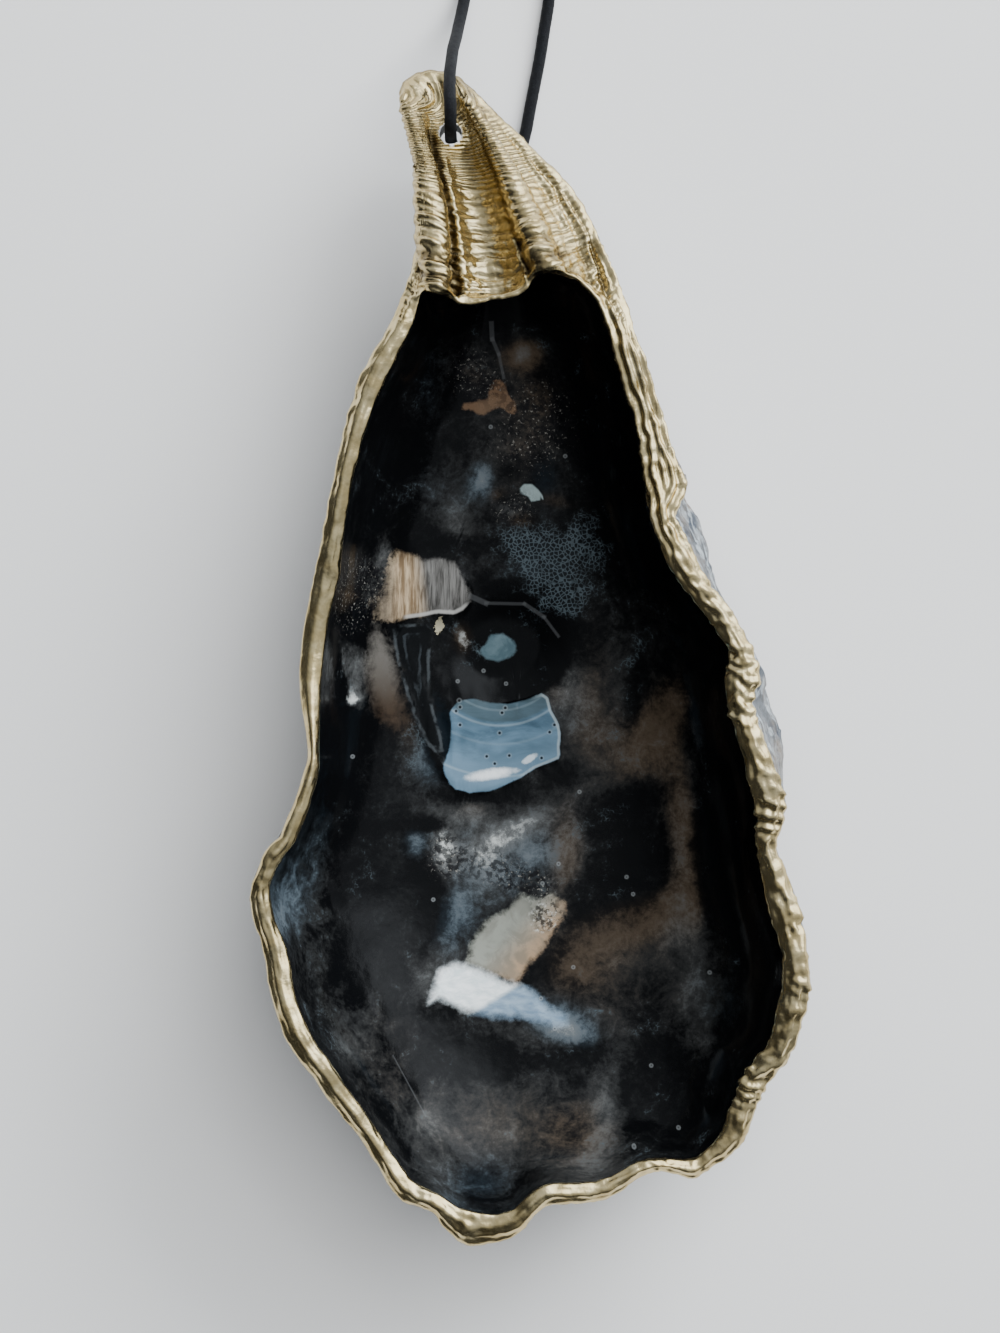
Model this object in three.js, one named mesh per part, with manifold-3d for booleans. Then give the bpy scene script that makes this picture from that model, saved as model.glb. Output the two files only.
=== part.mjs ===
// The cupped valve of a large Pacific oyster, with a gilded rim and hinge, drilled near the
// beak and hung on a knotted loop of waxed cord. It lies on its convex back with the cup
// facing up. Millimetres, +Z up, +Y toward the beak.
import * as THREE from 'three';
import { mergeVertices } from 'three/addons/utils/BufferGeometryUtils.js';
import Module from 'manifold-3d';

const wasm = await Module();
wasm.setup();

// The rim, clockwise from the left end of the hinge: outer edge x, y, then inner edge x, y.
const RIM = [
  [-13.6, 47.4, -12.4, 43.4], [-12.5, 52, -11.1, 43.3], [-12.5, 57.5, -9.7, 42.9],
  [-12.8, 61.5, -8.3, 42.2], [-14.2, 65, -6.9, 42], [-15.5, 68.5, -5.4, 42.3],
  [-14.6, 70.5, -4.3, 42.6], [-12.6, 71.5, -3.4, 42.7], [-10, 71.5, -2.6, 42.8],
  [-7.5, 70.2, -1.8, 43], [-5.3, 67.8, -0.9, 43.3], [-2.9, 65.4, -0.1, 43.9],
  [0, 62.4, 0.7, 44.9], [2.7, 59.6, 1.6, 45.5], [5.2, 56.7, 3, 45.7],
  [7.6, 52.7, 4.7, 45.3], [9, 48.8, 6.2, 44.7],
  // right side
  [10.9, 44, 8.1, 42.4], [13.2, 37.4, 10.2, 36.6], [15.7, 30, 12.3, 29.3],
  [17.2, 25, 13.5, 24.5], [18.5, 20.9, 13.9, 21], [17.5, 17, 14.4, 17],
  [19, 13.4, 15.8, 13], [21.4, 9.1, 18.1, 8.8], [24.5, 5, 21.4, 4.7],
  [26.8, 0.6, 23.7, 0.9], [27.4, -2.5, 23.4, -2.1], [26.5, -5, 23.6, -5],
  [27.2, -8, 24.4, -8], [30, -15, 26.3, -15], [30.3, -18.5, 27, -19],
  [29.4, -22, 27.1, -22.3], [31.9, -28.4, 28.5, -28.9], [33.1, -36, 30.1, -35.6],
  [33, -40.5, 29.8, -39.5], [31.1, -46.8, 28.7, -45.1], [28, -50.8, 25.8, -48.9],
  [26.8, -54.2, 24.2, -52.9], [25.5, -57.8, 23, -56.4],
  // bill
  [21.9, -60.4, 20.6, -58.8], [19.6, -61.6, 18.9, -59.4], [16.2, -60.7, 16.1, -59.2],
  [13.3, -61.5, 13.5, -59.4], [8.6, -64.2, 8.3, -61.8], [2.2, -64.7, 2.2, -62.1],
  [-1.7, -68.4, -2.3, -65.4], [-7, -69.4, -6.5, -65.4], [-9.5, -67.8, -8.9, -64.4],
  [-11.5, -65.3, -11, -63.1], [-15.3, -63.8, -14.2, -61.2], [-19.2, -57.6, -17.6, -56],
  // left side
  [-24.5, -50.6, -22.5, -48.7], [-29.1, -43.2, -26.6, -42.1], [-31.2, -34.3, -28.5, -34.2],
  [-32.7, -28.5, -30.4, -28.5], [-31.6, -24, -29.7, -24.5], [-28.8, -19.9, -27.2, -20.8],
  [-26.5, -13.6, -24.8, -13.9], [-26, -10.1, -24.6, -10], [-27, -3, -24.5, -3],
  [-26.5, 4, -23.7, 4], [-24.9, 11.5, -22.1, 11.4], [-23.4, 18.9, -21.2, 18.9],
  [-21.6, 27, -19.4, 26.5], [-19.7, 33.6, -16.9, 33], [-16.6, 39, -14.5, 37.8],
  [-14.8, 43.4, -13, 41.7],
];

// Heights above the surface the shell rests on.
const RIM_HEIGHT = 25;
const BEAK_DROP = 12;       // how far the outer edge falls from the hinge to the beak tip
const BEAK_DROP_FROM = 36;  // y where that fall begins
const BEAK_TIP_Y = 71.5;
const BILL_DROP = 3;        // the far end of the cup lies a little lower
const BILL_DROP_FROM = -38;
const BILL_TIP_Y = -69.5;
const LIP_CROWN = 0.8;      // roundness of the rim
const BEAK_ROUND = 1.2;     // the outer edge of the hinge plate rolls over by this much

// The back of the shell and the worn patch it rests on.
const PATCH = { x: 1, y: -11, rx: 13, ry: 21 };
const SIDE_FULLNESS = 2.3;
const BEAK_FULLNESS = 1.45;
const GROWTH_STEPS = 4;
const GROWTH_STEP = 0.7;
const FLANK_BULGES = [      // places on the right where the back stands out past the rim
  { x: 19, y: 16, reach: 8, out: 2.6 },
  { x: 28, y: -8, reach: 8, out: 2.4 },
];

// The cup.
const FLOOR_HEIGHT = 3.6;
const FLOOR_RISE = 2.2;     // the floor climbs this much toward the hinge and the bill
const CUP = { x: -1, y: -5, rx: 8.5, ry: 34 };
const CUP_FULLNESS = 2.5;
const WALL_SHARE = 0.75;    // share of the inside rows that lie on the wall
const CAVITY_END = { x: -4, y: 57 };
const CAVITY_REACH = 0.5;   // how far the hollow under the hinge goes toward that point
const PIT = { x: -3.6, y: 1.5, rx: 7, ry: 5.5, depth: 1.2 };

// The hinge plate: two ridges with a groove between them, given where they start and end.
const HINGE_Y = [42, 48, 53, 58, 63, 69];
const GROOVE_LEFT = [-8, -8.4, -8.9, -9.9, -11.3, -12.8];
const GROOVE_RIGHT = [0.9, -1.2, -2.7, -4.1, -5.9, -8.8];
const RIDGE_END = [6.2, 4.3, 2, -0.6, -3.6, -7];
const HINGE_RELIEF = 1.1;

const HOLE = { x: -9.2, y: 63.5, diameter: 2.7 };

// The cord goes down through the hole. The strand in front leaves the top of the hole, lies over
// the beak and drops to the surface. The strand behind leaves the back of the hole and runs out
// under the beak. Both meet in an overhand knot.
const CORD_DIAMETER = 1.5;
const CORD_SIDES = 8;
const CORD_STEPS = 34;
const FRONT_STRAND = [
  [-9.2, 63.2, 12.6], [-9.2, 63.2, 13.8], [-9.2, 63.25, 15], [-9.2, 63.65, 16.45],
  [-9.2, 64.65, 17.6], [-9.2, 66.05, 18.2], [-9.25, 67.45, 18.15], [-9.3, 68.6, 17.6],
  [-9.3, 69.8, 16.65], [-9.3, 71, 15.5], [-9.2, 72.1, 14.2], [-9.1, 73.3, 12.6],
  [-9, 74.5, 10.8], [-8.8, 75.7, 8.8], [-8.6, 76.9, 6.8], [-8.4, 78.3, 4.8],
  [-8.1, 80, 3.1], [-7.7, 82.2, 1.8], [-7.3, 85, 1], [-6.8, 88.2, 0.8],
  [-5.8, 92.4, 0.8], [-5, 97, 0.8], [-4.5, 102.5, 0.8], [-4.2, 108, 0.8],
  [-3.9, 113.5, 0.9], [-3.5, 117.6, 1.6],
];
const BACK_STRAND = [
  [-9.2, 63.3, 12], [-9.2, 63.3, 10.4], [-9.1, 63.3, 8.9], [-8.8, 63.2, 7.5],
  [-8.1, 62.9, 6.1], [-7.1, 62.5, 4.8], [-5.9, 62, 3.6], [-4.5, 61.7, 2.5],
  [-3, 61.8, 1.6], [-1.6, 62.6, 1], [-0.6, 64.1, 0.8], [0, 66.1, 0.8],
  [0.5, 68.8, 0.8], [1.1, 71.9, 0.8], [1.7, 75, 0.8], [2.3, 78.8, 0.8],
  [2.9, 82.8, 0.8], [3.2, 88, 0.8], [2.9, 94, 0.8], [2.1, 100, 0.8],
  [0.9, 106, 0.8], [-0.4, 111.5, 0.9], [-1.3, 115, 1.2], [-1.5, 117.6, 1.6],
];
const KNOT = { x: -2.5, y: 121.6, z: 2.2, rx: 3, ry: 3.5, rz: 2.1 };
const KNOT_TAILS = [
  [[-2.6, 122, 2], [-3.6, 125.4, 1.6], [-5, 128, 0.95], [-7, 130.4, 0.8], [-9.2, 131.8, 0.8]],
  [[-2.3, 122, 2], [-1.5, 125.6, 1.6], [-0.6, 128.4, 0.95], [0.8, 131, 0.8], [2.6, 133.2, 0.8]],
];

// Mesh density.
const RING = 100;
const BACK_ROWS = 15;
const BAND_ROWS = 6;
const CUP_ROWS = 15;
const PLAN_ROWS = 12;
const PLAN_PASSES = 300;
const BACK_PULL = 0.8;
const CUP_PULL = 0.5;
const PLATE_PULL = 0.15;

const clamp = THREE.MathUtils.clamp;
const lerp = THREE.MathUtils.lerp;
const smoothstep = THREE.MathUtils.smoothstep;

const outerLoop = smoothLoop(0);
const innerLoop = smoothLoop(2);
const backPlan = evenedPlan(outerLoop, innerLoop.map(p => onEllipse(PATCH, p.x, p.y)), BACK_PULL);
const bandPlan = evenedPlan(outerLoop, innerLoop, PLATE_PULL);
const cupPlan = evenedPlan(innerLoop, innerLoop.map(p => onEllipse(CUP, p.x, p.y)), CUP_PULL);

// One edge of the rim as RING points, the same share of the way round on both edges.
function smoothLoop(column) {
  const points = RIM.map(row => new THREE.Vector3(row[column], row[column + 1], 0));
  const curve = new THREE.CatmullRomCurve3(points, true, 'catmullrom', 0.5);
  return Array.from({ length: RING }, (_, i) => curve.getPoint(i / RING));
}

// How much a ring point belongs to the hinge: 0 along the cup, 1 on the plate.
function hingeShare(i) {
  const row = rimRow(i);
  return smoothstep(row, -1.5, 1) * (1 - smoothstep(row, 15, 18));
}

// How far back the hollow under the plate goes: nothing at its ends, all the way in the middle.
function hollowShare(i) {
  const row = rimRow(i);
  return smoothstep(row, 0.5, 5) * (1 - smoothstep(row, 11, 15.5));
}

// Place of a ring point in the RIM list, below zero for the last points before the hinge.
function rimRow(i) {
  const row = i / RING * RIM.length;
  return row > RIM.length / 2 ? row - RIM.length : row;
}

function waviness(x, y) {
  return 1.1 * Math.sin(0.08 * x + 0.07 * y) + 0.7 * Math.sin(0.2 * y - 0.13 * x + 1);
}

function rimHeight(x, y) {
  const bill = clamp((BILL_DROP_FROM - y) / (BILL_DROP_FROM - BILL_TIP_Y), 0, 1);
  return RIM_HEIGHT + waviness(x, y) * (1 - smoothstep(y, 30, 45)) - BILL_DROP * bill ** 1.5;
}

function outerEdge(i) {
  const edge = outerLoop[i].clone();
  const beak = clamp((edge.y - BEAK_DROP_FROM) / (BEAK_TIP_Y - BEAK_DROP_FROM), 0, 1);
  edge.z = rimHeight(edge.x, edge.y) - 0.6 - BEAK_DROP * beak ** 1.2;
  return edge;
}

function innerEdge(i) {
  const edge = innerLoop[i].clone();
  edge.z = rimHeight(edge.x, edge.y) - 0.6;
  return edge;
}

// Value of a guide line of the hinge plate at height y along it.
function along(line, y) {
  const last = HINGE_Y.length - 1;
  for (let i = 0; i < last; i++) {
    if (y < HINGE_Y[i + 1] || i === last - 1) {
      const share = clamp((y - HINGE_Y[i]) / (HINGE_Y[i + 1] - HINGE_Y[i]), 0, 1);
      return lerp(line[i], line[i + 1], share);
    }
  }
}

// Ridge, groove and ridge across the hinge plate.
function hingeRelief(x, y) {
  const left = along(GROOVE_LEFT, y);
  const right = along(GROOVE_RIGHT, y);
  const end = along(RIDGE_END, y);
  const size = HINGE_RELIEF * (1 - 0.6 * smoothstep(y, 55, 70));
  if (x < left) return size * Math.sin(Math.PI * clamp((left - x) / 5, 0, 1));
  if (x < right) return -size * Math.sin(Math.PI * (x - left) / (right - left));
  if (x < end) return size * Math.sin(Math.PI * (x - right) / (end - right));
  return -0.4 * size * clamp((x - end) / 2, 0, 1);
}

// Where lines from one loop to another run, seen from above: rows of points that are evened out
// until each lies midway between its neighbours, so that lines never cross. The pull says how
// much the neighbours on either side count against those before and after.
function evenedPlan(from, to, pull) {
  const rows = [];
  for (let k = 0; k <= PLAN_ROWS; k++) {
    rows.push(from.map((p, i) => p.clone().lerp(to[i], k / PLAN_ROWS)));
  }
  for (let pass = 0; pass < PLAN_PASSES; pass++) {
    for (let k = 1; k < PLAN_ROWS; k++) {
      for (let i = 0; i < RING; i++) {
        const left = rows[k][(i + RING - 1) % RING];
        const right = rows[k][(i + 1) % RING];
        const sideways = left.clone().add(right).multiplyScalar(pull);
        const sum = rows[k - 1][i].clone().add(rows[k + 1][i]).add(sideways);
        rows[k][i].copy(sum.multiplyScalar(0.5 / (1 + pull)));
      }
    }
  }
  return (i, share) => {
    const k = Math.min(Math.floor(share * PLAN_ROWS), PLAN_ROWS - 1);
    return rows[k][i].clone().lerp(rows[k + 1][i], share * PLAN_ROWS - k);
  };
}

function band(i, v) {
  const edge = outerEdge(i);
  const inner = innerEdge(i);
  const hinge = hingeShare(i);
  const flat = edge.clone().lerp(inner, v).lerp(bandPlan(i, v), hinge);
  const roll = 1 - (1 - clamp(v / 0.15, 0, 1)) ** 2;
  const plate = BEAK_ROUND * roll * (1 - 0.5 * v) + hingeRelief(flat.x, flat.y) * roll;
  const height = lerp(edge.z, inner.z, v) + lerp(LIP_CROWN * Math.sin(Math.PI * v), plate, hinge);
  return new THREE.Vector3(flat.x, flat.y, height);
}

function bulge(x, y) {
  let out = 0;
  for (const b of FLANK_BULGES) {
    const far = Math.hypot(x - b.x, y - b.y) / b.reach;
    out += b.out * Math.exp(-far * far);
  }
  return out;
}

function onEllipse(ellipse, x, y) {
  const angle = Math.atan2(y - ellipse.y, x - ellipse.x);
  const out = new THREE.Vector3(ellipse.rx * Math.cos(angle), ellipse.ry * Math.sin(angle), 0);
  return out.add(new THREE.Vector3(ellipse.x, ellipse.y, 0));
}

// The back, from the outer edge (u = 0) down to the resting patch (u = 1).
function back(i, u) {
  const edge = outerEdge(i);
  const fullness = lerp(SIDE_FULLNESS, BEAK_FULLNESS, smoothstep(edge.y, 38, 66));
  const inward = 1 - Math.cos(u * Math.PI / 2) ** (2 / fullness);
  const down = Math.sin(u * Math.PI / 2) ** (2 / fullness);
  const growing = smoothstep(u, 0, 0.1) * (1 - smoothstep(u, 0.75, 0.95));
  const growth = GROWTH_STEP * ((u * GROWTH_STEPS) % 1) * growing;
  const out = new THREE.Vector2(edge.x - PATCH.x, edge.y - PATCH.y).normalize();
  const push = growth + bulge(edge.x, edge.y) * Math.sin(Math.PI * Math.min(u * 1.3, 1));
  const flat = backPlan(i, inward);
  return new THREE.Vector3(flat.x + out.x * push, flat.y + out.y * push, edge.z * (1 - down));
}

function floorHeight(x, y) {
  const far = (y - CUP.y) / CUP.ry;
  const pit = Math.exp(-(((x - PIT.x) / PIT.rx) ** 2 + ((y - PIT.y) / PIT.ry) ** 2));
  return FLOOR_HEIGHT + FLOOR_RISE * far * far - PIT.depth * pit;
}

// The inside of the cup, from the inner edge (w = 0) down to the middle of the floor (w = 1).
// Under the hinge plate the wall is drawn back toward the beak, which leaves a hollow.
function cup(i, w) {
  const edge = innerEdge(i);
  const foot = cupPlan(i, 1);
  if (w > WALL_SHARE) {
    const share = (w - WALL_SHARE) / (1 - WALL_SHARE);
    const spot = foot.clone().lerp(new THREE.Vector3(CUP.x, CUP.y, 0), share);
    return new THREE.Vector3(spot.x, spot.y, floorHeight(spot.x, spot.y));
  }
  const u = (w / WALL_SHARE) ** 1.4;
  const inward = 1 - Math.cos(u * Math.PI / 2) ** (2 / CUP_FULLNESS);
  const down = Math.sin(u * Math.PI / 2) ** (2 / CUP_FULLNESS);
  const depth = smoothstep(down, 0.1, 0.35) * (1 - smoothstep(down, 0.5, 1));
  const cavityEnd = new THREE.Vector3(CAVITY_END.x, CAVITY_END.y, 0);
  const flat = cupPlan(i, inward).lerp(cavityEnd, CAVITY_REACH * hollowShare(i) * depth);
  return new THREE.Vector3(flat.x, flat.y, lerp(edge.z, floorHeight(foot.x, foot.y), down));
}

// Closed surface through rings of points, with a middle point at each end.
function skin(rings, first, last) {
  const points = [first, ...rings.flat(), last];
  const faces = [];
  const at = (row, i) => 1 + row * RING + ((i + RING) % RING);
  for (let i = 0; i < RING; i++) {
    faces.push(0, at(0, i), at(0, i + 1));
    faces.push(points.length - 1, at(rings.length - 1, i + 1), at(rings.length - 1, i));
    for (let row = 0; row + 1 < rings.length; row++) {
      faces.push(at(row, i), at(row + 1, i), at(row + 1, i + 1));
      faces.push(at(row, i), at(row + 1, i + 1), at(row, i + 1));
    }
  }
  const geometry = new THREE.BufferGeometry().setFromPoints(points);
  geometry.setIndex(faces);
  return geometry;
}

function ring(surface, share) {
  return Array.from({ length: RING }, (_, i) => surface(i, share));
}

function valve() {
  const rings = [];
  for (let k = BACK_ROWS; k >= 0; k--) rings.push(ring(back, k / BACK_ROWS));
  for (let k = 1; k < BAND_ROWS; k++) rings.push(ring(band, k / BAND_ROWS));
  for (let k = 0; k < CUP_ROWS; k++) rings.push(ring(cup, k / CUP_ROWS));
  const underside = new THREE.Vector3(PATCH.x, PATCH.y, 0);
  const floor = new THREE.Vector3(CUP.x, CUP.y, floorHeight(CUP.x, CUP.y));
  return skin(rings, underside, floor);
}

function solid(geometry) {
  const bare = geometry.clone();
  bare.deleteAttribute('normal');
  bare.deleteAttribute('uv');
  const merged = mergeVertices(bare, 1e-4);
  return new wasm.Manifold(new wasm.Mesh({
    numProp: 3,
    vertProperties: new Float32Array(merged.attributes.position.array),
    triVerts: new Uint32Array(merged.index.array),
  }));
}

function geometryOf(manifold) {
  const mesh = manifold.getMesh();
  const places = new THREE.BufferAttribute(new Float32Array(mesh.vertProperties), 3);
  const geometry = new THREE.BufferGeometry();
  geometry.setAttribute('position', places);
  geometry.setIndex(new THREE.BufferAttribute(new Uint32Array(mesh.triVerts), 1));
  return geometry;
}

function drill() {
  const bit = new THREE.CylinderGeometry(HOLE.diameter / 2, HOLE.diameter / 2, 40, 20);
  bit.rotateX(Math.PI / 2);
  bit.translate(HOLE.x, HOLE.y, 10);
  return bit;
}

// Round cord along a route of points.
function tube(route, steps) {
  const section = new THREE.Shape(Array.from({ length: CORD_SIDES }, (_, i) => {
    const angle = i / CORD_SIDES * 2 * Math.PI;
    return new THREE.Vector2(CORD_DIAMETER / 2 * Math.cos(angle), CORD_DIAMETER / 2 * Math.sin(angle));
  }));
  const path = new THREE.CatmullRomCurve3(route.map(p => new THREE.Vector3(...p)));
  return new THREE.ExtrudeGeometry(section, { steps, bevelEnabled: false, extrudePath: path });
}

// Overhand knot as one plain lump, with the two cut ends of the cord.
function knot() {
  const lump = new THREE.SphereGeometry(1, 16, 10);
  lump.scale(KNOT.rx, KNOT.ry, KNOT.rz);
  lump.translate(KNOT.x, KNOT.y, KNOT.z);
  return KNOT_TAILS.reduce((body, tail) => body.add(solid(tube(tail, 8))), solid(lump));
}

function named(name, geometry, colour, roughness) {
  const look = new THREE.MeshStandardMaterial({ color: colour, roughness, metalness: 0 });
  const mesh = new THREE.Mesh(geometry, look);
  mesh.name = name;
  return mesh;
}

const shell = geometryOf(solid(valve()).subtract(solid(drill())));
const model = new THREE.Group();
model.add(named('shell', shell, 0x4a4640, 0.3));
model.add(named('cord_front', tube(FRONT_STRAND, CORD_STEPS), 0x111113, 0.8));
model.add(named('cord_back', tube(BACK_STRAND, CORD_STEPS), 0x111113, 0.8));
model.add(named('cord_knot', geometryOf(knot()), 0x111113, 0.8));

// The origin lies under the middle of the shell.
shell.computeBoundingBox();
const middle = shell.boundingBox.getCenter(new THREE.Vector3());
for (const mesh of model.children) mesh.geometry.translate(-middle.x, -middle.y, 0);
export default model;
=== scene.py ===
"""Gilded oyster shell on a waxed cord: the visual model, built around the CAD frame.

Lengths are in millimetres in the shell's own plan, where +Y points to the beak, +X to the right
and +Z out of the cup. frame_point and write_points turn them into metres in the row frame.
"""

import math

import bmesh
import bpy
import numpy as np
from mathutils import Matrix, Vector, noise


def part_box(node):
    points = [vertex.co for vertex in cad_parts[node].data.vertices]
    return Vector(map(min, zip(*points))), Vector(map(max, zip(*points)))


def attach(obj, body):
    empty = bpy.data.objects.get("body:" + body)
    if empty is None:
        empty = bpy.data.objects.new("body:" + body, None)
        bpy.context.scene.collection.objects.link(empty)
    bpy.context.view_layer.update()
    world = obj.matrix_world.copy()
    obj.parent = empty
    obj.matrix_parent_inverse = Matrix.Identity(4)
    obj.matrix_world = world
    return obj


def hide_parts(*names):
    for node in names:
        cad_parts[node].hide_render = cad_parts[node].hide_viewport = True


MM = 0.001

# ---- Driving dimensions ----

# The rim, clockwise from the left end of the hinge: outer edge x, y, then inner edge x, y.
RIM = np.array([
    (-13.6, 47.4, -12.4, 43.4), (-12.5, 52, -11.1, 43.3), (-12.5, 57.5, -9.7, 42.9),
    (-12.8, 61.5, -8.3, 42.2), (-14.2, 65, -6.9, 42), (-15.5, 68.5, -5.4, 42.3),
    (-14.6, 70.5, -4.3, 42.6), (-12.6, 71.5, -3.4, 42.7), (-10, 71.5, -2.6, 42.8),
    (-7.5, 70.2, -1.8, 43), (-5.3, 67.8, -0.9, 43.3), (-2.9, 65.4, -0.1, 43.9),
    (0, 62.4, 0.7, 44.9), (2.7, 59.6, 1.6, 45.5), (5.2, 56.7, 3, 45.7),
    (7.6, 52.7, 4.7, 45.3), (9, 48.8, 6.2, 44.7),
    # right side
    (10.9, 44, 8.1, 42.4), (13.2, 37.4, 10.2, 36.6), (15.7, 30, 12.3, 29.3),
    (17.2, 25, 13.5, 24.5), (18.5, 20.9, 13.9, 21), (17.5, 17, 14.4, 17),
    (19, 13.4, 15.8, 13), (21.4, 9.1, 18.1, 8.8), (24.5, 5, 21.4, 4.7),
    (26.8, 0.6, 23.7, 0.9), (27.4, -2.5, 23.4, -2.1), (26.5, -5, 23.6, -5),
    (27.2, -8, 24.4, -8), (30, -15, 26.3, -15), (30.3, -18.5, 27, -19),
    (29.4, -22, 27.1, -22.3), (31.9, -28.4, 28.5, -28.9), (33.1, -36, 30.1, -35.6),
    (33, -40.5, 29.8, -39.5), (31.1, -46.8, 28.7, -45.1), (28, -50.8, 25.8, -48.9),
    (26.8, -54.2, 24.2, -52.9), (25.5, -57.8, 23, -56.4),
    # bill
    (21.9, -60.4, 20.6, -58.8), (19.6, -61.6, 18.9, -59.4), (16.2, -60.7, 16.1, -59.2),
    (13.3, -61.5, 13.5, -59.4), (8.6, -64.2, 8.3, -61.8), (2.2, -64.7, 2.2, -62.1),
    (-1.7, -68.4, -2.3, -65.4), (-7, -69.4, -6.5, -65.4), (-9.5, -67.8, -8.9, -64.4),
    (-11.5, -65.3, -11, -63.1), (-15.3, -63.8, -14.2, -61.2), (-19.2, -57.6, -17.6, -56),
    # left side
    (-24.5, -50.6, -22.5, -48.7), (-29.1, -43.2, -26.6, -42.1), (-31.2, -34.3, -28.5, -34.2),
    (-32.7, -28.5, -30.4, -28.5), (-31.6, -24, -29.7, -24.5), (-28.8, -19.9, -27.2, -20.8),
    (-26.5, -13.6, -24.8, -13.9), (-26, -10.1, -24.6, -10), (-27, -3, -24.5, -3),
    (-26.5, 4, -23.7, 4), (-24.9, 11.5, -22.1, 11.4), (-23.4, 18.9, -21.2, 18.9),
    (-21.6, 27, -19.4, 26.5), (-19.7, 33.6, -16.9, 33), (-16.6, 39, -14.5, 37.8),
    (-14.8, 43.4, -13, 41.7),
])

RIM_HEIGHT = 25.0
BEAK_DROP = 12.0
BEAK_DROP_FROM = 36.0
BEAK_TIP_Y = 71.5
BILL_DROP = 3.0
BILL_DROP_FROM = -38.0
BILL_TIP_Y = -69.5
LIP_CROWN = 0.8
LIP_SEAT = 0.6              # how far the lip's two edges lie below the rim height
BEAK_ROUND = 1.2

PATCH = (1.0, -11.0, 13.0, 21.0)      # centre x, y and radii of the worn resting patch
CUP = (-1.0, -5.0, 8.5, 34.0)         # the same for the flat of the cup's floor
SIDE_FULLNESS = 2.3
BEAK_FULLNESS = 1.45
CUP_FULLNESS = 2.5
FLANK_BULGES = [(19.0, 15.0, 7.5, 5.0), (28.0, -8.0, 7.5, 5.0)]   # x, y, reach, out
FLOOR_HEIGHT = 3.6
FLOOR_RISE = 2.2
WALL_SHARE = 0.75
CAVITY_END = np.array((-4.0, 57.0))
CAVITY_REACH = 0.5

# Guide lines of the hinge plate: two ridges with a groove between them.
HINGE_Y = [42, 48, 53, 58, 63, 69]
GROOVE_LEFT = [-8, -8.4, -8.9, -9.9, -11.3, -12.8]
GROOVE_RIGHT = [0.9, -1.2, -2.7, -4.1, -5.9, -8.8]
RIDGE_END = [6.2, 4.3, 2, -0.6, -3.6, -7]
HINGE_RELIEF = 1.1
HINGE_CARVE = 1.2           # how much of that relief is added again when the mesh is carved
HOLLOW_SHADE = 1.3          # painted shade on the gold for each millimetre below the plain surface
PLATE_FROM = 40.0
PLATE_EDGE = (0.4, 2.0)     # where the plate's relief fades in, from the edge of the gold

HOLE = (-9.2, 63.5)
HOLE_DIAMETER = 2.7
HOLE_LIP = 0.8              # plain ring round the hole
HOLE_SIDES = 40
BIT_LENGTH = 40.0
BIT_HEIGHT = 10.0           # of its middle
BORE_SLACK = 0.02

# The cord, as in the CAD.
CORD_DIAMETER = 1.5
BRAID_PITCH = 5.0
BRAID_DEPTH = 0.1           # share of the radius
CORD_SIDES = 18
CORD_STEP = 0.3
KNOT_TURNS = 2.6
KNOT_RISE = 1.55            # of the wrap, in each turn
KNOT_RADIUS = 1.42
KNOT_TUCK = 0.35            # share of the radius by which the ends of the wrap are drawn in
KNOT_POINTS = 40
FRONT_STRAND = [
    (-9.2, 63.2, 12.6), (-9.2, 63.2, 13.8), (-9.2, 63.25, 15), (-9.2, 63.65, 16.45),
    (-9.2, 64.65, 17.6), (-9.2, 66.05, 18.2), (-9.25, 67.45, 18.15), (-9.3, 68.6, 17.6),
    (-9.3, 69.8, 16.65), (-9.3, 71, 15.5), (-9.2, 72.1, 14.2), (-9.1, 73.3, 12.6),
    (-9, 74.5, 10.8), (-8.8, 75.7, 8.8), (-8.6, 76.9, 6.8), (-8.4, 78.3, 4.8),
    (-8.1, 80, 3.1), (-7.7, 82.2, 1.8), (-7.3, 85, 1), (-6.8, 88.2, 0.8),
    (-5.8, 92.4, 0.8), (-5, 97, 0.8), (-4.5, 102.5, 0.8), (-4.2, 108, 0.8),
    (-3.9, 113.5, 0.9), (-3.5, 117.6, 1.6),
]
BACK_STRAND = [
    (-9.2, 63.3, 12), (-9.2, 63.3, 10.4), (-9.1, 63.3, 8.9), (-8.8, 63.2, 7.5),
    (-8.1, 62.9, 6.1), (-7.1, 62.5, 4.8), (-5.9, 62, 3.6), (-4.5, 61.7, 2.5),
    (-3, 61.8, 1.6), (-1.6, 62.6, 1), (-0.6, 64.1, 0.8), (0, 66.1, 0.8),
    (0.5, 68.8, 0.8), (1.1, 71.9, 0.8), (1.7, 75, 0.8), (2.3, 78.8, 0.8),
    (2.9, 82.8, 0.8), (3.2, 88, 0.8), (2.9, 94, 0.8), (2.1, 100, 0.8),
    (0.9, 106, 0.8), (-0.4, 111.5, 0.9), (-1.3, 115, 1.2), (-1.5, 117.6, 1.6),
]
KNOT = np.array((-2.5, 121.6, 2.2))
KNOT_TAILS = [
    [(-2.6, 122, 2), (-3.6, 125.4, 1.6), (-5, 128, 0.95), (-7, 130.4, 0.8), (-9.2, 131.8, 0.8)],
    [(-2.3, 122, 2), (-1.5, 125.6, 1.6), (-0.6, 128.4, 0.95), (0.8, 131, 0.8), (2.6, 133.2, 0.8)],
]

# The camera looks straight down on the cup.
VIEW_CENTRE = (-3.25, -0.77)
VIEW_HEIGHT = 157.3         # of the picture, at the rim
CAMERA_ABOVE_RIM = 420.0
SENSOR = 36.0

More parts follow.
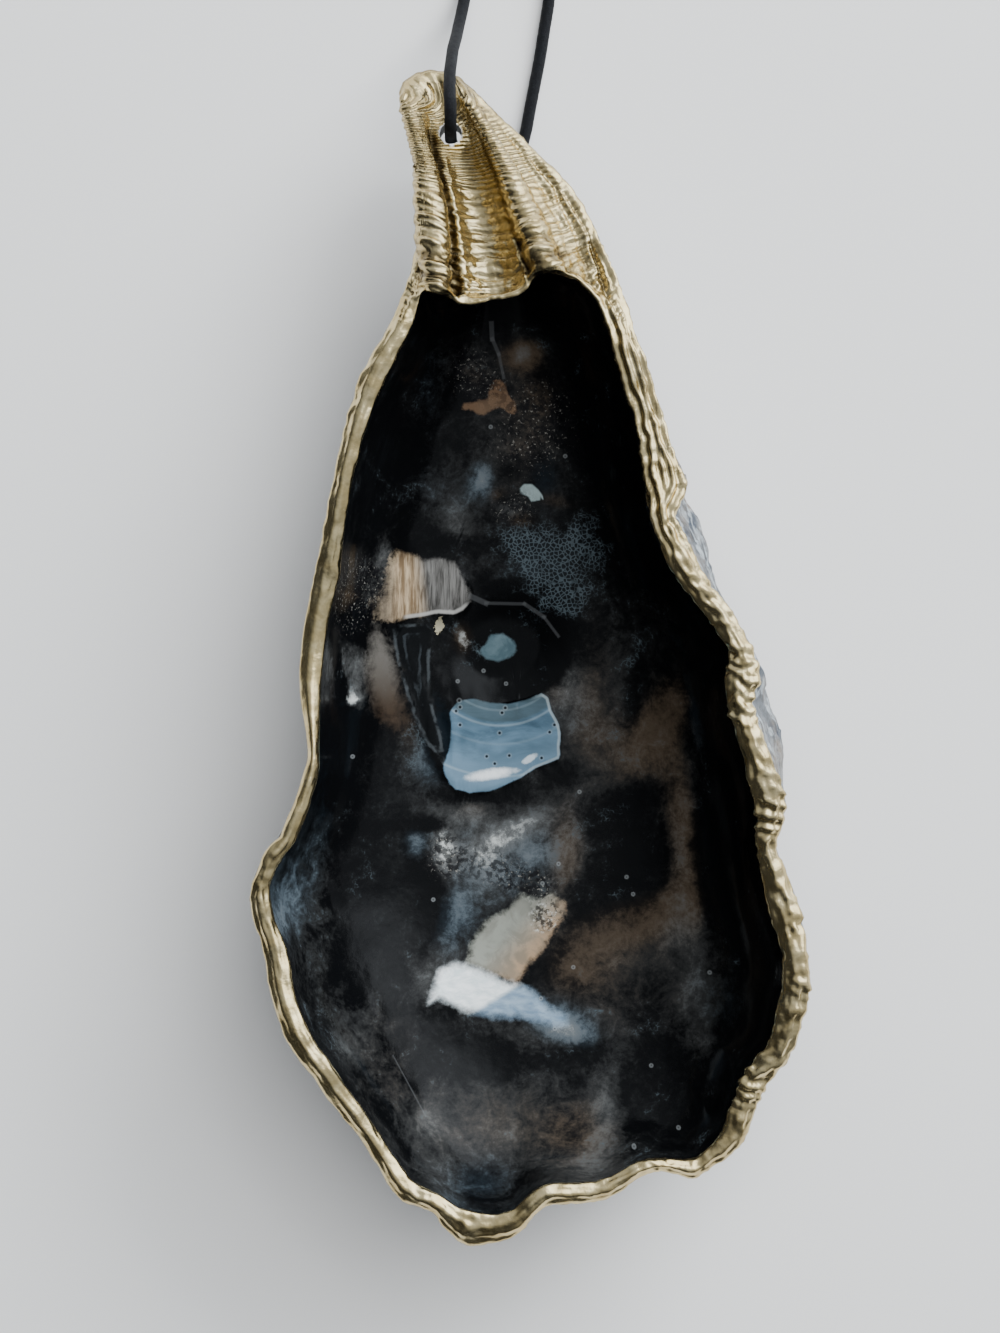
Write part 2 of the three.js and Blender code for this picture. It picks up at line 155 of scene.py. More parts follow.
# Mesh density.
COARSE_RING = 100
PLAN_ROWS = 12
PLAN_PASSES = 900
BACK_PULL = 0.8
CUP_PULL = 0.5
PLATE_PULL = 0.15
RING = 420
BACK_ROWS = 44
BAND_ROWS = 18
WALL_ROWS = 56
FLOOR_ROWS = 44
PLATE_CUTS = 3              # more rows across the hinge plate
PLATE_SHARE = 0.3           # how much of the plate's shape a point has where those rows start
ROUND_CUTS = 1              # more points round the whole band
FAR_FROM_GILT = -20


# ---- Small tools ----

def smoothstep(low, high, x):
    x = np.clip((x - low) / (high - low), 0, 1)
    return x * x * (3 - 2 * x)


def lerp(a, b, share):
    return a + (b - a) * share


def catmull_rom(a, b, c, d, f):
    """The point a share f of the way from b to c, on a smooth curve through a, b, c and d."""
    return 0.5 * (2 * b + (c - a) * f + (2 * a - 5 * b + 4 * c - d) * f**2
                  + (3 * b - a - 3 * c + d) * f**3)


def closed_spline(points, count):
    """A closed curve through points, at count even shares of the list."""
    n = len(points)
    place = np.arange(count) / count * n
    k = place.astype(int)
    a, b, c, d = (points[(k + j) % n] for j in (-1, 0, 1, 2))
    return catmull_rom(a, b, c, d, (place - k)[:, None])


def on_ellipse(ellipse, loop):
    """The points of an ellipse in the same directions from its centre as those of a loop."""
    x, y, rx, ry = ellipse
    angle = np.arctan2(loop[:, 1] - y, loop[:, 0] - x)
    return np.stack([x + rx * np.cos(angle), y + ry * np.sin(angle)], axis=1)


def noise_at(points, size, octaves=1, seed=0.0):
    """Smooth noise of about -1..1 with features of the given size, summed over octaves."""
    total = np.zeros(len(points))
    for octave in range(octaves):
        scale = 2.0**octave / size
        shifted = points * scale + seed + 17.3 * octave
        values = np.fromiter((noise.noise(p) for p in shifted.tolist()), float, len(points))
        total += values / 2.0**octave
    return total


def wave(along, pitch, phase=0.0):
    return np.sin(2 * math.pi * along / pitch + phase)


def angle_round_patch(points):
    return np.arctan2(points[:, 1] - PATCH[1], points[:, 0] - PATCH[0])


def wound(around, radius, along):
    """Places on a tube, so that noise read there closes up round the shell."""
    return np.column_stack([np.cos(around) * radius, np.sin(around) * radius, along])


def frame_point(x, y, z):
    """Metres in the row frame of a point given in the shell's plan."""
    return ((x - MIDDLE[0]) * MM, (y - MIDDLE[1]) * MM, z * MM)


# ---- Camera and cord ----

def make_camera():
    camera = bpy.data.objects.new("camera", bpy.data.cameras.new("camera"))
    bpy.context.scene.collection.objects.link(camera)
    camera.location = frame_point(*VIEW_CENTRE, RIM_HEIGHT + CAMERA_ABOVE_RIM)
    camera.data.sensor_fit = "VERTICAL"
    camera.data.sensor_height = SENSOR
    camera.data.lens = SENSOR * CAMERA_ABOVE_RIM / VIEW_HEIGHT
    camera.data.clip_start = 0.01
    camera.data.dof.use_dof = False
    bpy.context.scene.camera = camera


def route_points(route, step):
    """An open spline through the route, at even steps along it."""
    route = np.array(route, float)
    ends = np.vstack([2 * route[0] - route[1], route, 2 * route[-1] - route[-2]])
    fine = []
    for k in range(1, len(ends) - 2):
        fine += [catmull_rom(*ends[k - 1:k + 3], f) for f in np.arange(0, 1, 0.05)]
    fine = np.array(fine + [route[-1]])
    run = np.concatenate([[0], np.cumsum(np.linalg.norm(np.diff(fine, axis=0), axis=1))])
    at = np.linspace(0, run[-1], max(2, int(run[-1] / step)) + 1)
    return np.stack([np.interp(at, run, fine[:, i]) for i in range(3)], axis=1), run[-1]


def sections(points):
    """Two directions across the line at each of its points, carried along without twist."""
    along = np.gradient(points, axis=0)
    along /= np.linalg.norm(along, axis=1)[:, None]
    side = np.cross(along[0], (0.0, 0.0, 1.0))
    if np.linalg.norm(side) < 0.1:
        side = np.array((1.0, 0.0, 0.0))
    sides = []
    for direction in along:
        side = side - direction * np.dot(side, direction)
        side = side / np.linalg.norm(side)
        sides.append(side)
    sides = np.array(sides)
    return sides, np.cross(along, sides)


def braid(angle, run):
    """Radius of a round braided cord: strands crossing in two directions."""
    turn = 2 * math.pi * run / BRAID_PITCH
    one = np.abs(np.sin(1.5 * (angle + turn)))
    other = np.abs(np.sin(1.5 * (angle - turn) + 0.8))
    return CORD_DIAMETER / 2 * (1 - BRAID_DEPTH + BRAID_DEPTH * np.maximum(one, other))


def cord_tube(bm, route):
    """Add a braided tube along a route, and return its middle line and length."""
    points, length = route_points(route, CORD_STEP)
    sides, ups = sections(points)
    angles = np.arange(CORD_SIDES) / CORD_SIDES * 2 * math.pi
    across, upward = np.cos(angles), np.sin(angles)
    run = np.linspace(0, length, len(points))
    rings = []
    for k, centre in enumerate(points):
        radius = braid(angles, run[k])
        ring = centre + (across * radius)[:, None] * sides[k] + (upward * radius)[:, None] * ups[k]
        rings.append([bm.verts.new(frame_point(*p)) for p in ring])
    for a, b in zip(rings, rings[1:]):
        for i in range(CORD_SIDES):
            j = (i + 1) % CORD_SIDES
            bm.faces.new((a[i], a[j], b[j], b[i]))
    bm.faces.new(rings[0][::-1])
    bm.faces.new(rings[-1])
    return points, length


def object_from(bm, name, material):
    bmesh.ops.recalc_face_normals(bm, faces=bm.faces)
    mesh = bpy.data.meshes.new(name)
    bm.to_mesh(mesh)
    bm.free()
    mesh.polygons.foreach_set("use_smooth", [True] * len(mesh.polygons))
    piece = bpy.data.objects.new(name, mesh)
    bpy.context.scene.collection.objects.link(piece)
    mesh.materials.append(material)
    return piece


def make_strand(name, route, material):
    bm = bmesh.new()
    points, length = cord_tube(bm, route)
    piece = object_from(bm, name, material)
    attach(piece, "root")
    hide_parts(name)
    path = [frame_point(*p) for p in points[::4]] + [frame_point(*points[-1])]
    frame_point(*route[0])
    length * MM
    return piece


def make_knot(material):
    """An overhand knot pulled tight in both strands, with its two cut tails."""
    bm = bmesh.new()
    for strand, tail in zip((FRONT_STRAND, BACK_STRAND), KNOT_TAILS):
        inside = [strand[-1], tuple(lerp(np.array(strand[-1]), np.array(tail[0]), 0.5))]
        cord_tube(bm, inside + tail)
    start = KNOT[1] - KNOT_TURNS * KNOT_RISE / 2
    whole = KNOT_TURNS * 2 * math.pi
    wrap = []
    for angle in np.linspace(0, whole, KNOT_POINTS):
        radius = KNOT_RADIUS * (1 - KNOT_TUCK * (angle < 0.5 or angle > whole - 0.5))
        wrap.append((KNOT[0] + radius * math.cos(angle), start + KNOT_RISE * angle / (2 * math.pi),
                     KNOT[2] + radius * math.sin(angle)))
    cord_tube(bm, wrap)
    piece = object_from(bm, "cord_knot", material)
    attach(piece, "root")
    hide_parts("cord_knot")
    return piece


# ---- Shape of the shell ----

def evened_plan(start, end, pull):
    """Lines between two coarse loops, evened out until they never cross, less the straight ones."""
    shares = np.linspace(0, 1, PLAN_ROWS + 1)[:, None, None]
    straight = start + (end - start) * shares
    rows = straight.copy()
    for _ in range(PLAN_PASSES):
        across = np.roll(rows[1:-1], 1, axis=1) + np.roll(rows[1:-1], -1, axis=1)
        rows[1:-1] = (rows[:-2] + rows[2:] + pull * across) / (2 + 2 * pull)
    return rows - straight


class Plan:
    """Where the lines from one fine loop to another run, seen from above."""

    def __init__(self, columns, aim, pull):
        start = closed_spline(RIM[:, columns], COARSE_RING)
        inner = closed_spline(RIM[:, 2:], COARSE_RING)
        coarse = evened_plan(start, aim(inner), pull)
        self.offsets = np.stack([closed_spline(row, RING) for row in coarse])
        self.start = closed_spline(RIM[:, columns], RING)
        self.end = aim(closed_spline(RIM[:, 2:], RING))

    def at(self, share):
        """Points for an array of shares, one for each ring point."""
        place = np.clip(share, 0, 1) * PLAN_ROWS
        k = np.minimum(place.astype(int), PLAN_ROWS - 1)
        f = (place - k)[:, None]
        ring = np.arange(RING)
        offset = self.offsets[k, ring] * (1 - f) + self.offsets[k + 1, ring] * f
        return lerp(self.start, self.end, np.asarray(share)[:, None]) + offset


def rim_row():
    """Place of each ring point in the RIM list, below zero for the last points before the hinge."""
    row = np.arange(RING) / RING * len(RIM)
    return np.where(row > len(RIM) / 2, row - len(RIM), row)


def hinge_share():
    """1 for ring points on the hinge and 0 for the others, with a short change between them."""
    row = rim_row()
    return smoothstep(-1.5, 1, row) * (1 - smoothstep(15, 18, row))


def hollow_share():
    """1 for ring points over the cavity under the hinge plate."""
    row = rim_row()
    return smoothstep(0.5, 5, row) * (1 - smoothstep(11, 15.5, row))


def rim_height(loop):
    """Height of the rim over each point of a loop."""
    x, y = loop[:, 0], loop[:, 1]
    waves = 1.1 * np.sin(0.08 * x + 0.07 * y) + 0.7 * np.sin(0.2 * y - 0.13 * x + 1)
    bill = np.clip((BILL_DROP_FROM - y) / (BILL_DROP_FROM - BILL_TIP_Y), 0, 1)
    return RIM_HEIGHT + waves * (1 - smoothstep(30, 45, y)) - BILL_DROP * bill**1.5


def hinge_guides(y):
    """x of the groove's two sides and of the end of the right ridge."""
    return (np.interp(y, HINGE_Y, line) for line in (GROOVE_LEFT, GROOVE_RIGHT, RIDGE_END))


def hinge_relief(x, y):
    """Ridge, groove and ridge across the hinge plate."""
    left, right, end = hinge_guides(y)
    size = HINGE_RELIEF * (1 - 0.6 * smoothstep(55, 70, y))
    return size * np.select(
        [x < left, x < right, x < end],
        [np.sin(math.pi * np.clip((left - x) / 5, 0, 1)),
         -np.sin(math.pi * np.clip((x - left) / (right - left), 0, 1)),
         np.sin(math.pi * np.clip((x - right) / (end - right), 0, 1))],
        -0.4 * np.clip((x - end) / 2, 0, 1))


def floor_height(x, y):
    """Height of the floor of the cup, which rises to both ends."""
    along = (y - CUP[1]) / CUP[3]
    return FLOOR_HEIGHT + FLOOR_RISE * along * along


class Valve:
    """The plain surface of the shell, as rings from the resting patch over the rim to the floor."""

    def __init__(self):
        self.back_plan = Plan([0, 1], lambda loop: on_ellipse(PATCH, loop), BACK_PULL)
        self.band_plan = Plan([0, 1], lambda loop: loop, PLATE_PULL)
        self.cup_plan = Plan([2, 3], lambda loop: on_ellipse(CUP, loop), CUP_PULL)
        self.outer = self.back_plan.start
        self.inner = self.cup_plan.start
        beak = np.clip((self.outer[:, 1] - BEAK_DROP_FROM) / (BEAK_TIP_Y - BEAK_DROP_FROM), 0, 1)
        self.outer_z = rim_height(self.outer) - LIP_SEAT - BEAK_DROP * beak**1.2
        self.inner_z = rim_height(self.inner) - LIP_SEAT
        self.hinge = hinge_share()
        self.hollow = hollow_share()

    def back(self, u):
        edge = self.outer
        fullness = lerp(SIDE_FULLNESS, BEAK_FULLNESS, smoothstep(38, 66, edge[:, 1]))
        inward = 1 - np.cos(u * math.pi / 2) ** (2 / fullness)
        down = np.sin(u * math.pi / 2) ** (2 / fullness)
        bulge = sum(out * np.exp(-((edge[:, 0] - x) ** 2 + (edge[:, 1] - y) ** 2) / reach**2)
                    for x, y, reach, out in FLANK_BULGES)
        push = bulge * math.sin(math.pi * min(u * 1.3, 1))
        outward = edge - np.array(PATCH[:2])
        outward /= np.linalg.norm(outward, axis=1)[:, None]
        flat = self.back_plan.at(inward) + outward * push[:, None]
        return np.column_stack([flat, self.outer_z * (1 - down)])

    def band(self, v):
        share = np.full(RING, v)
        straight = lerp(self.outer, self.inner, v)
        flat = lerp(straight, self.band_plan.at(share), self.hinge[:, None])
        roll = 1 - (1 - min(v / 0.15, 1)) ** 2
        plate = BEAK_ROUND * roll * (1 - 0.5 * v) + hinge_relief(flat[:, 0], flat[:, 1]) * roll
        lip = LIP_CROWN * math.sin(math.pi * v)
        height = lerp(self.outer_z, self.inner_z, v) + lerp(lip, plate, self.hinge)
        return np.column_stack([flat, height])

    def cup(self, w):
        foot = self.cup_plan.end
        if w > WALL_SHARE:
            flat = lerp(foot, np.array(CUP[:2]), (w - WALL_SHARE) / (1 - WALL_SHARE))
            return np.column_stack([flat, floor_height(flat[:, 0], flat[:, 1])])
        u = (w / WALL_SHARE) ** 1.4
        inward = np.full(RING, 1 - math.cos(u * math.pi / 2) ** (2 / CUP_FULLNESS))
        down = math.sin(u * math.pi / 2) ** (2 / CUP_FULLNESS)
        hollow = CAVITY_REACH * self.hollow * smoothstep(0.1, 0.35, down) * (1 - smoothstep(0.5, 1, down))
        flat = lerp(self.cup_plan.at(inward), CAVITY_END, hollow[:, None])
        return np.column_stack([flat, lerp(self.inner_z, floor_height(foot[:, 0], foot[:, 1]), down)])

    def rings(self):
        """All rings, with the zone of each: -1..0 on the back, 0..1 on the band, 1..2 in the cup."""
        rows = [(self.back(k / BACK_ROWS), -k / BACK_ROWS) for k in range(BACK_ROWS, -1, -1)]
        rows += [(self.band(k / BAND_ROWS), k / BAND_ROWS) for k in range(1, BAND_ROWS)]
        shares = [WALL_SHARE * k / WALL_ROWS for k in range(WALL_ROWS)]
        shares += [lerp(WALL_SHARE, 1, k / FLOOR_ROWS) for k in range(FLOOR_ROWS)]
        rows += [(self.cup(share), 1 + share) for share in shares]
        return rows


def base_mesh(valve):
    """The plain surface as a closed bmesh in plan millimetres, with each point's zone, and how far
    it lies inside the gilding, which is less than 0 outside it."""
    rows = valve.rings()
    bm = bmesh.new()
    zone = bm.verts.layers.float.new("zone")
    gilt = bm.verts.layers.float.new("gilt")
    edge_row = BACK_ROWS
    inner_row = BACK_ROWS + BAND_ROWS
    stack = np.stack([row for row, _ in rows])
    steps = np.linalg.norm(np.diff(stack, axis=0), axis=2)
    run = np.concatenate([np.zeros((1, RING)), np.cumsum(steps, axis=0)])
    inside = np.minimum(run - run[edge_row], run[inner_row] - run)
    rings = []
    for (row, where), depth in zip(rows, inside):
        ring = []
        for point, far in zip(row, depth):
            vert = bm.verts.new(point)
            vert[zone] = where
            vert[gilt] = far
            ring.append(vert)
        rings.append(ring)
    under = bm.verts.new((PATCH[0], PATCH[1], 0))
    under[zone], under[gilt] = -1, FAR_FROM_GILT
    floor = bm.verts.new((CUP[0], CUP[1], floor_height(*CUP[:2])))
    floor[zone], floor[gilt] = 2, FAR_FROM_GILT
    round_edges = set()
    plate_edges = set()
    for k, (a, b) in enumerate(zip(rings, rings[1:])):
        for i in range(RING):
            j = (i + 1) % RING
            bm.faces.new((a[i], b[i], b[j], a[j]))
            if edge_row <= k < inner_row:
                round_edges |= {bm.edges.get((a[i], a[j])), bm.edges.get((b[i], b[j]))}
                if valve.hinge[i] > PLATE_SHARE:
                    plate_edges.add(bm.edges.get((a[i], b[i])))
    for i in range(RING):
        j = (i + 1) % RING
        bm.faces.new((under, rings[0][i], rings[0][j]))
        bm.faces.new((floor, rings[-1][j], rings[-1][i]))
    bmesh.ops.subdivide_edges(bm, edges=list(plate_edges), cuts=PLATE_CUTS, use_grid_fill=True)
    across = [edge for edge in bm.edges if edge in round_edges or in_band_round(edge, zone)]
    bmesh.ops.subdivide_edges(bm, edges=across, cuts=ROUND_CUTS, use_grid_fill=True)
    return bm


def in_band_round(edge, zone):
    """Whether an edge lies along the band, not across it."""
    a, b = (vert[zone] for vert in edge.verts)
    return abs(a - b) < 1e-4 and -1e-4 <= a <= 1


def drill_hole(piece):
    """Cut the cord's hole through the hinge plate near the beak."""
    bit_mesh = bpy.data.meshes.new("bit")
    bm = bmesh.new()
    radius = HOLE_DIAMETER / 2 * MM
    bmesh.ops.create_cone(bm, cap_ends=True, segments=HOLE_SIDES, radius1=radius, radius2=radius,
                          depth=BIT_LENGTH * MM)
    bm.to_mesh(bit_mesh)
    bm.free()
    bit = bpy.data.objects.new("bit", bit_mesh)
    bpy.context.scene.collection.objects.link(bit)
    bit.location = frame_point(*HOLE, BIT_HEIGHT)
    cut = piece.modifiers.new("drill", "BOOLEAN")
    cut.object = bit
    cut.operation = "DIFFERENCE"
    cut.solver = "EXACT"
    bpy.context.view_layer.update()
    evaluated = piece.evaluated_get(bpy.context.evaluated_depsgraph_get())
    drilled = bpy.data.meshes.new_from_object(evaluated)
    piece.modifiers.clear()
    piece.data = drilled
    bpy.data.objects.remove(bit)
    bpy.data.meshes.remove(bit_mesh)


def read_points(mesh):
    flat = np.empty(len(mesh.vertices) * 3)
    mesh.vertices.foreach_get("co", flat)
    points = flat.reshape(-1, 3) / MM
    points[:, :2] += MIDDLE
    normals = np.empty(len(mesh.vertices) * 3)
    mesh.vertices.foreach_get("normal", normals)
    return points, normals.reshape(-1, 3)


def write_points(mesh, points):
    points = points.copy()
    points[:, :2] -= MIDDLE
    mesh.vertices.foreach_set("co", (points * MM).ravel())
    mesh.update()


def read_layer(mesh, name):
    values = np.empty(len(mesh.vertices))
    mesh.attributes[name].data.foreach_get("value", values)
    return values


def write_layer(mesh, name, values):
    layer = mesh.attributes.get(name) or mesh.attributes.new(name, "FLOAT", "POINT")
    layer.data.foreach_set("value", values.astype(np.float32))


# ---- Relief of the shell ----

# Heights and pitches of the relief.
FINE_LINE, FINE_LINE_PITCH = 0.04, 0.95
BAND, BAND_PITCH = 0.14, 2.7
CLEFT_DEPTHS = (1.5, 0.3, 0.15)     # left and right of the groove, and at the end of the ridge
FLANK_RIB, FLANK_RIB_PITCH = 0.16, 1.6
CHIPPED_STEPS = (0.4, 0.35)         # left and right of the groove
HAMMERED, RIDGED = 0.22, 0.16
RIM_RIB, RIM_RIB_PITCH = 0.24, 1.7
RIM_LINE, RIM_LINE_PITCH = 0.22, 1.15
BACK_LEAVES, LEAF_HEIGHT = 11, 0.85
FOLD_HEIGHT = 0.55
CHALK_GRAIN = 0.1
LEDGE_HEIGHT = 0.8
PIT, PIT_DEPTH = (-3.0, 1.6, 7.4, 5.8, 8), 1.7
FLUTE_HEIGHT, FLUTE_PITCH = 0.28, 2.1
SCAR_STEP = 0.45
WHITE_STEP = 0.5
CUP_WAVES = 0.22
LOBES, LOBE_HEIGHT, LOBE_PITCH = (-27.5, -28.0, 3.0, 9.0), 0.22, 2.4
# Soft swellings in the cup: x, y, radii, turn in degrees and rise.
CUP_SWELLS = [(15.5, -9.5, 3.0, 7.5, -32, 0.35), (19.3, -22.0, 1.6, 12.0, 4, 0.5),
              (-21.3, -4.9, 2.4, 0.7, 8, 0.5), (-25.0, -21.5, 0.8, 2.2, -25, 0.35)]


def gaussian(x, y, cx, cy, rx, ry, turn=0.0):
    """A soft oval spot, 1 in the middle, turned by degrees anticlockwise."""
    c, s = math.cos(math.radians(turn)), math.sin(math.radians(turn))
    u = ((x - cx) * c + (y - cy) * s) / rx
    v = (-(x - cx) * s + (y - cy) * c) / ry
    return np.exp(-(u * u + v * v))


def growth_warp(points):
    """How the growth lines of the hinge plate wander."""
    return noise_at(points, 5.0, 2, seed=3.0)


def growth_lines(points, warp):
    """How far a point of the hinge plate lies along its growth: straight across the plate lower
    down, and in arcs round the tip of the beak."""
    x, y = points[:, 0], points[:, 1]
    tip = np.hypot(x + 15.5, y - 68.0)
    sag = 86 - y + 0.03 * (x + 4) ** 2
    return lerp(tip, sag, smoothstep(68, 56, y)) + 0.5 * warp


def hinge_surface(points):
    """Fine relief of the hinge plate: growth lines across it, thin clefts between its ridges, ribs
    on its flank and chipped steps at its foot. The ridges themselves are hinge_relief."""
    x, y = points[:, 0], points[:, 1]
    left, right, end = hinge_guides(y)
    warp = growth_warp(points)
    small = noise_at(points, 1.1, 2, seed=9.0)
    left = left + 0.25 * small
    across = growth_lines(points, warp)
    fine = wave(across, FINE_LINE_PITCH, small)
    bands = wave(across, BAND_PITCH, 1.5 * warp)
    coarse = 1 + 0.8 * smoothstep(52, 46, y)
    lines = FINE_LINE * fine + BAND * np.sign(bands) * np.abs(bands) ** 0.6
    lines *= coarse * (0.8 + 0.4 * warp)
    lines *= 1 - 0.7 * smoothstep(0.0, 2.0, x - end)
    cleft = sum(depth * np.exp(-((x - line) / width) ** 2)
                for depth, line, width in zip(CLEFT_DEPTHS, (left, right, end), (0.55, 1.2, 0.5)))
    cleft *= smoothstep(67, 60, y)
    flank = x - end + 0.3 * warp
    ribs = FLANK_RIB * wave(flank, FLANK_RIB_PITCH, 2 * warp) * smoothstep(0.5, 2.5, flank)
    fray = y + 0.4 * warp
    steps = CHIPPED_STEPS[0] * smoothstep(48.8, 48.0, fray) * (x < left)
    steps += CHIPPED_STEPS[1] * smoothstep(50.6, 49.8, fray) * (x > right)
    blocks = 0.16 * small * smoothstep(52, 47, y)
    return lines - cleft + ribs - steps + blocks


def rim_surface(points, gilt):
    """Hammered look of the gilded rim, with small lumpy ribs along the right side."""
    x, y = points[:, 0], points[:, 1]
    hammered = HAMMERED * noise_at(points, 2.6, 3, seed=11.0)
    ridged = RIDGED * (1 - 2 * np.abs(noise_at(points, 1.5, 2, seed=23.0)))
    wander = noise_at(points, 4.0, 2, seed=5.0)
    right = smoothstep(5, 12, x) * smoothstep(14, 4, y) * smoothstep(-58, -50, y)
    ribs = RIM_RIB * wave(y + 0.35 * x, RIM_RIB_PITCH, 6 * wander) * smoothstep(-0.5, 0.6, wander)
    upper = smoothstep(6, 10, x) * smoothstep(8, 18, y)
    lengthwise = RIM_LINE * wave(gilt, RIM_LINE_PITCH, 3 * wander)
    left = smoothstep(-18, -22, x) * smoothstep(-18, -14, y) * smoothstep(12, 4, y)
    calm = 1 - 0.7 * left
    lumps = hammered + ridged * (0.6 + upper + 0.8 * right)
    return lumps * calm + ribs * right + lengthwise * (0.2 + upper) * calm


def back_surface(points, zone):
    """Leafy growth shoots round the back, with soft radial folds and a chalky grain."""
    around = angle_round_patch(points)
    down = -zone
    wander = noise_at(wound(around, 3.2, down * 1.5), 1.0, 3, seed=31.0)
    leaf = (down * BACK_LEAVES + 1.1 * wander) % 1.0
    leaves = LEAF_HEIGHT * (leaf - 0.5)
    leaves *= smoothstep(0.02, 0.1, down) * (1 - smoothstep(0.8, 0.97, down))
    folds = FOLD_HEIGHT * noise_at(wound(around, 9, down), 1.0, 2, seed=41.0)
    folds *= smoothstep(0.05, 0.3, down) * (1 - smoothstep(0.8, 0.95, down))
    grain = CHALK_GRAIN * noise_at(points, 0.9, 2, seed=53.0)
    flat = 1 - smoothstep(0.93, 0.99, down)
    return (leaves * (0.6 + 0.5 * noise_at(points, 9.0, 1, seed=7.0)) + folds + grain) * flat


def cup_surface(points, zone):
    """Relief of the inside: a ledge over a pit, flutes beside it, the muscle scar and soft waves."""
    x, y = points[:, 0], points[:, 1]
    warp = noise_at(points, 4.0, 2, seed=61.0)
    ledge = LEDGE_HEIGHT * smoothstep(-0.5, 0.5, distance_inside(points, OUTLINES["ledge"]) + 0.2 * warp)
    ledge *= smoothstep(15, 8, y) * smoothstep(-19, -15, x)
    pit = -PIT_DEPTH * np.clip(gaussian(x, y, *PIT) * 1.5, 0, 1) ** 1.4
    beside, along = flute_place(x, y)
    reach = smoothstep(-0.5, 1, along) * smoothstep(19, 15, along)
    flutes = FLUTE_HEIGHT * wave(beside, FLUTE_PITCH) * np.exp(-(beside / 3.4) ** 2) * reach
    scar_edge = distance_inside(points, OUTLINES["scar"]) + 0.15 * warp
    scar = SCAR_STEP * smoothstep(-0.35, 0.35, scar_edge) * smoothstep(8, -12, y)
    waves = CUP_WAVES * noise_at(points * (1.0, 0.7, 1.0), 11.0, 2, seed=71.0)
    pale = WHITE_STEP * smoothstep(-2.5, 1.5, distance_inside(points, OUTLINES["white"]))
    swell = sum(rise * gaussian(x, y, *oval) for *oval, rise in CUP_SWELLS)
    small = 0.035 * noise_at(points, 1.6, 2, seed=83.0)
    lobe = LOBE_HEIGHT * wave(x + 0.35 * y, LOBE_PITCH) * gaussian(x, y, *LOBES)
    under_rim = smoothstep(1.0, 1.12, zone)
    return (ledge + pit + flutes + scar + waves + pale + swell + small + lobe) * under_rim


def flute_place(x, y):
    """Distance across and along the blade-like flutes beside the pit."""
    bend = 0.02 * (y + 4) ** 2
    along = (x + 15.9) * 0.30 - (y - 4.5) * 0.954
    beside = (x + 13.2 + bend) * 0.954 + (y + 4.0) * 0.30
    return beside, along


# Outlines of the marks in the cup that have a clear edge.
OUTLINES = {
    "scar": [
        (-9.3, -5.6), (-8.2, -4.9), (-6.6, -4.7), (-4.5, -5.3), (-2.3, -5.4), (0, -4.9), (1.9, -4.1),
        (2.7, -4.6), (3.1, -6.2), (4, -7.8), (4.3, -9.3), (4.1, -10.6), (4.2, -12.1), (3, -12.6),
        (1, -13.4), (-0.8, -14.6), (-2.6, -15.5), (-4.6, -16.2), (-7, -16.4), (-8.8, -16), (-9.8, -15),
        (-10.4, -13.3), (-9.6, -11.2), (-9.1, -8.8), (-9.6, -6.9),
    ],
    "white": [
        (-10.6, -38), (-8.6, -37.3), (-6.2, -38), (-2.6, -39.7), (0, -40.2), (1.6, -41.4), (3, -43),
        (4.8, -43.8), (4.9, -44.8), (3.4, -45), (0, -44.2), (-3.6, -44.1), (-8, -42.9), (-10.8, -41.6),
        (-12, -42.2), (-11.4, -40),
    ],
    "tan": [
        (-7.6, -37.6), (-6.6, -34.5), (-5, -32.2), (-2.2, -30.6), (-0.4, -28.9), (1.6, -29.6), (3, -29),
        (4.7, -29.9), (4.8, -31.8), (3.2, -34), (1.2, -36.6), (-0.6, -39.2), (-1.4, -40), (-3, -39.2),
    ],
    "ledge": [
        (-18.8, 5.4), (-18.6, 8.5), (-17.3, 12), (-16, 13.8), (-13.6, 13.2), (-12.8, 12.6),
        (-10.4, 12.7), (-8.8, 12.2), (-7.9, 10.4), (-7, 8.6), (-6.8, 7.4), (-7.9, 6.2), (-9, 5.7),
        (-11, 5.9), (-12.6, 5.5), (-14.8, 5.2), (-16.6, 4.6),
    ],
    "feather": [
        (-18.3, 4.3), (-17, 2.6), (-16, -1.2), (-15.2, -4.6), (-14.4, -7.4), (-16, -8.8), (-18.4, -7.4),
        (-19.4, -4), (-19.9, -0.8), (-19.6, 2.2),
    ],
    "splat": [
        (-3.2, 34.6), (-2.5, 34), (-2.2, 32.8), (-1.2, 31.4), (-0.9, 30.2), (-2, 30.4), (-3.2, 31.2),
        (-4.2, 30.8), (-5.4, 30.2), (-7, 30.8), (-8.3, 30.7), (-7.8, 31.7), (-6, 32.1), (-4.8, 32.3),
        (-4.6, 33.6), (-4, 34.5),
    ],
    "blade": [
        (-16.4, 4.2), (-11.8, 4.4), (-12.2, 0), (-11.8, -5), (-10, -13), (-12.2, -10), (-14.2, -5.7),
        (-15.8, 0),
    ],
    "dome": [
        (-1.3, 20.7), (-0.3, 21.8), (0.7, 21.8), (1.6, 21), (2.3, 19.9), (0.6, 19.6), (0.2, 20.3),
    ],
    "lens": [
        (-6, 1.2), (-5, 2), (-4.6, 3.2), (-3, 3.5), (-1.8, 2.8), (-0.8, 1.5), (-1.6, 0.4), (-3.4, -0.3),
        (-5, 0.2),
    ],
}


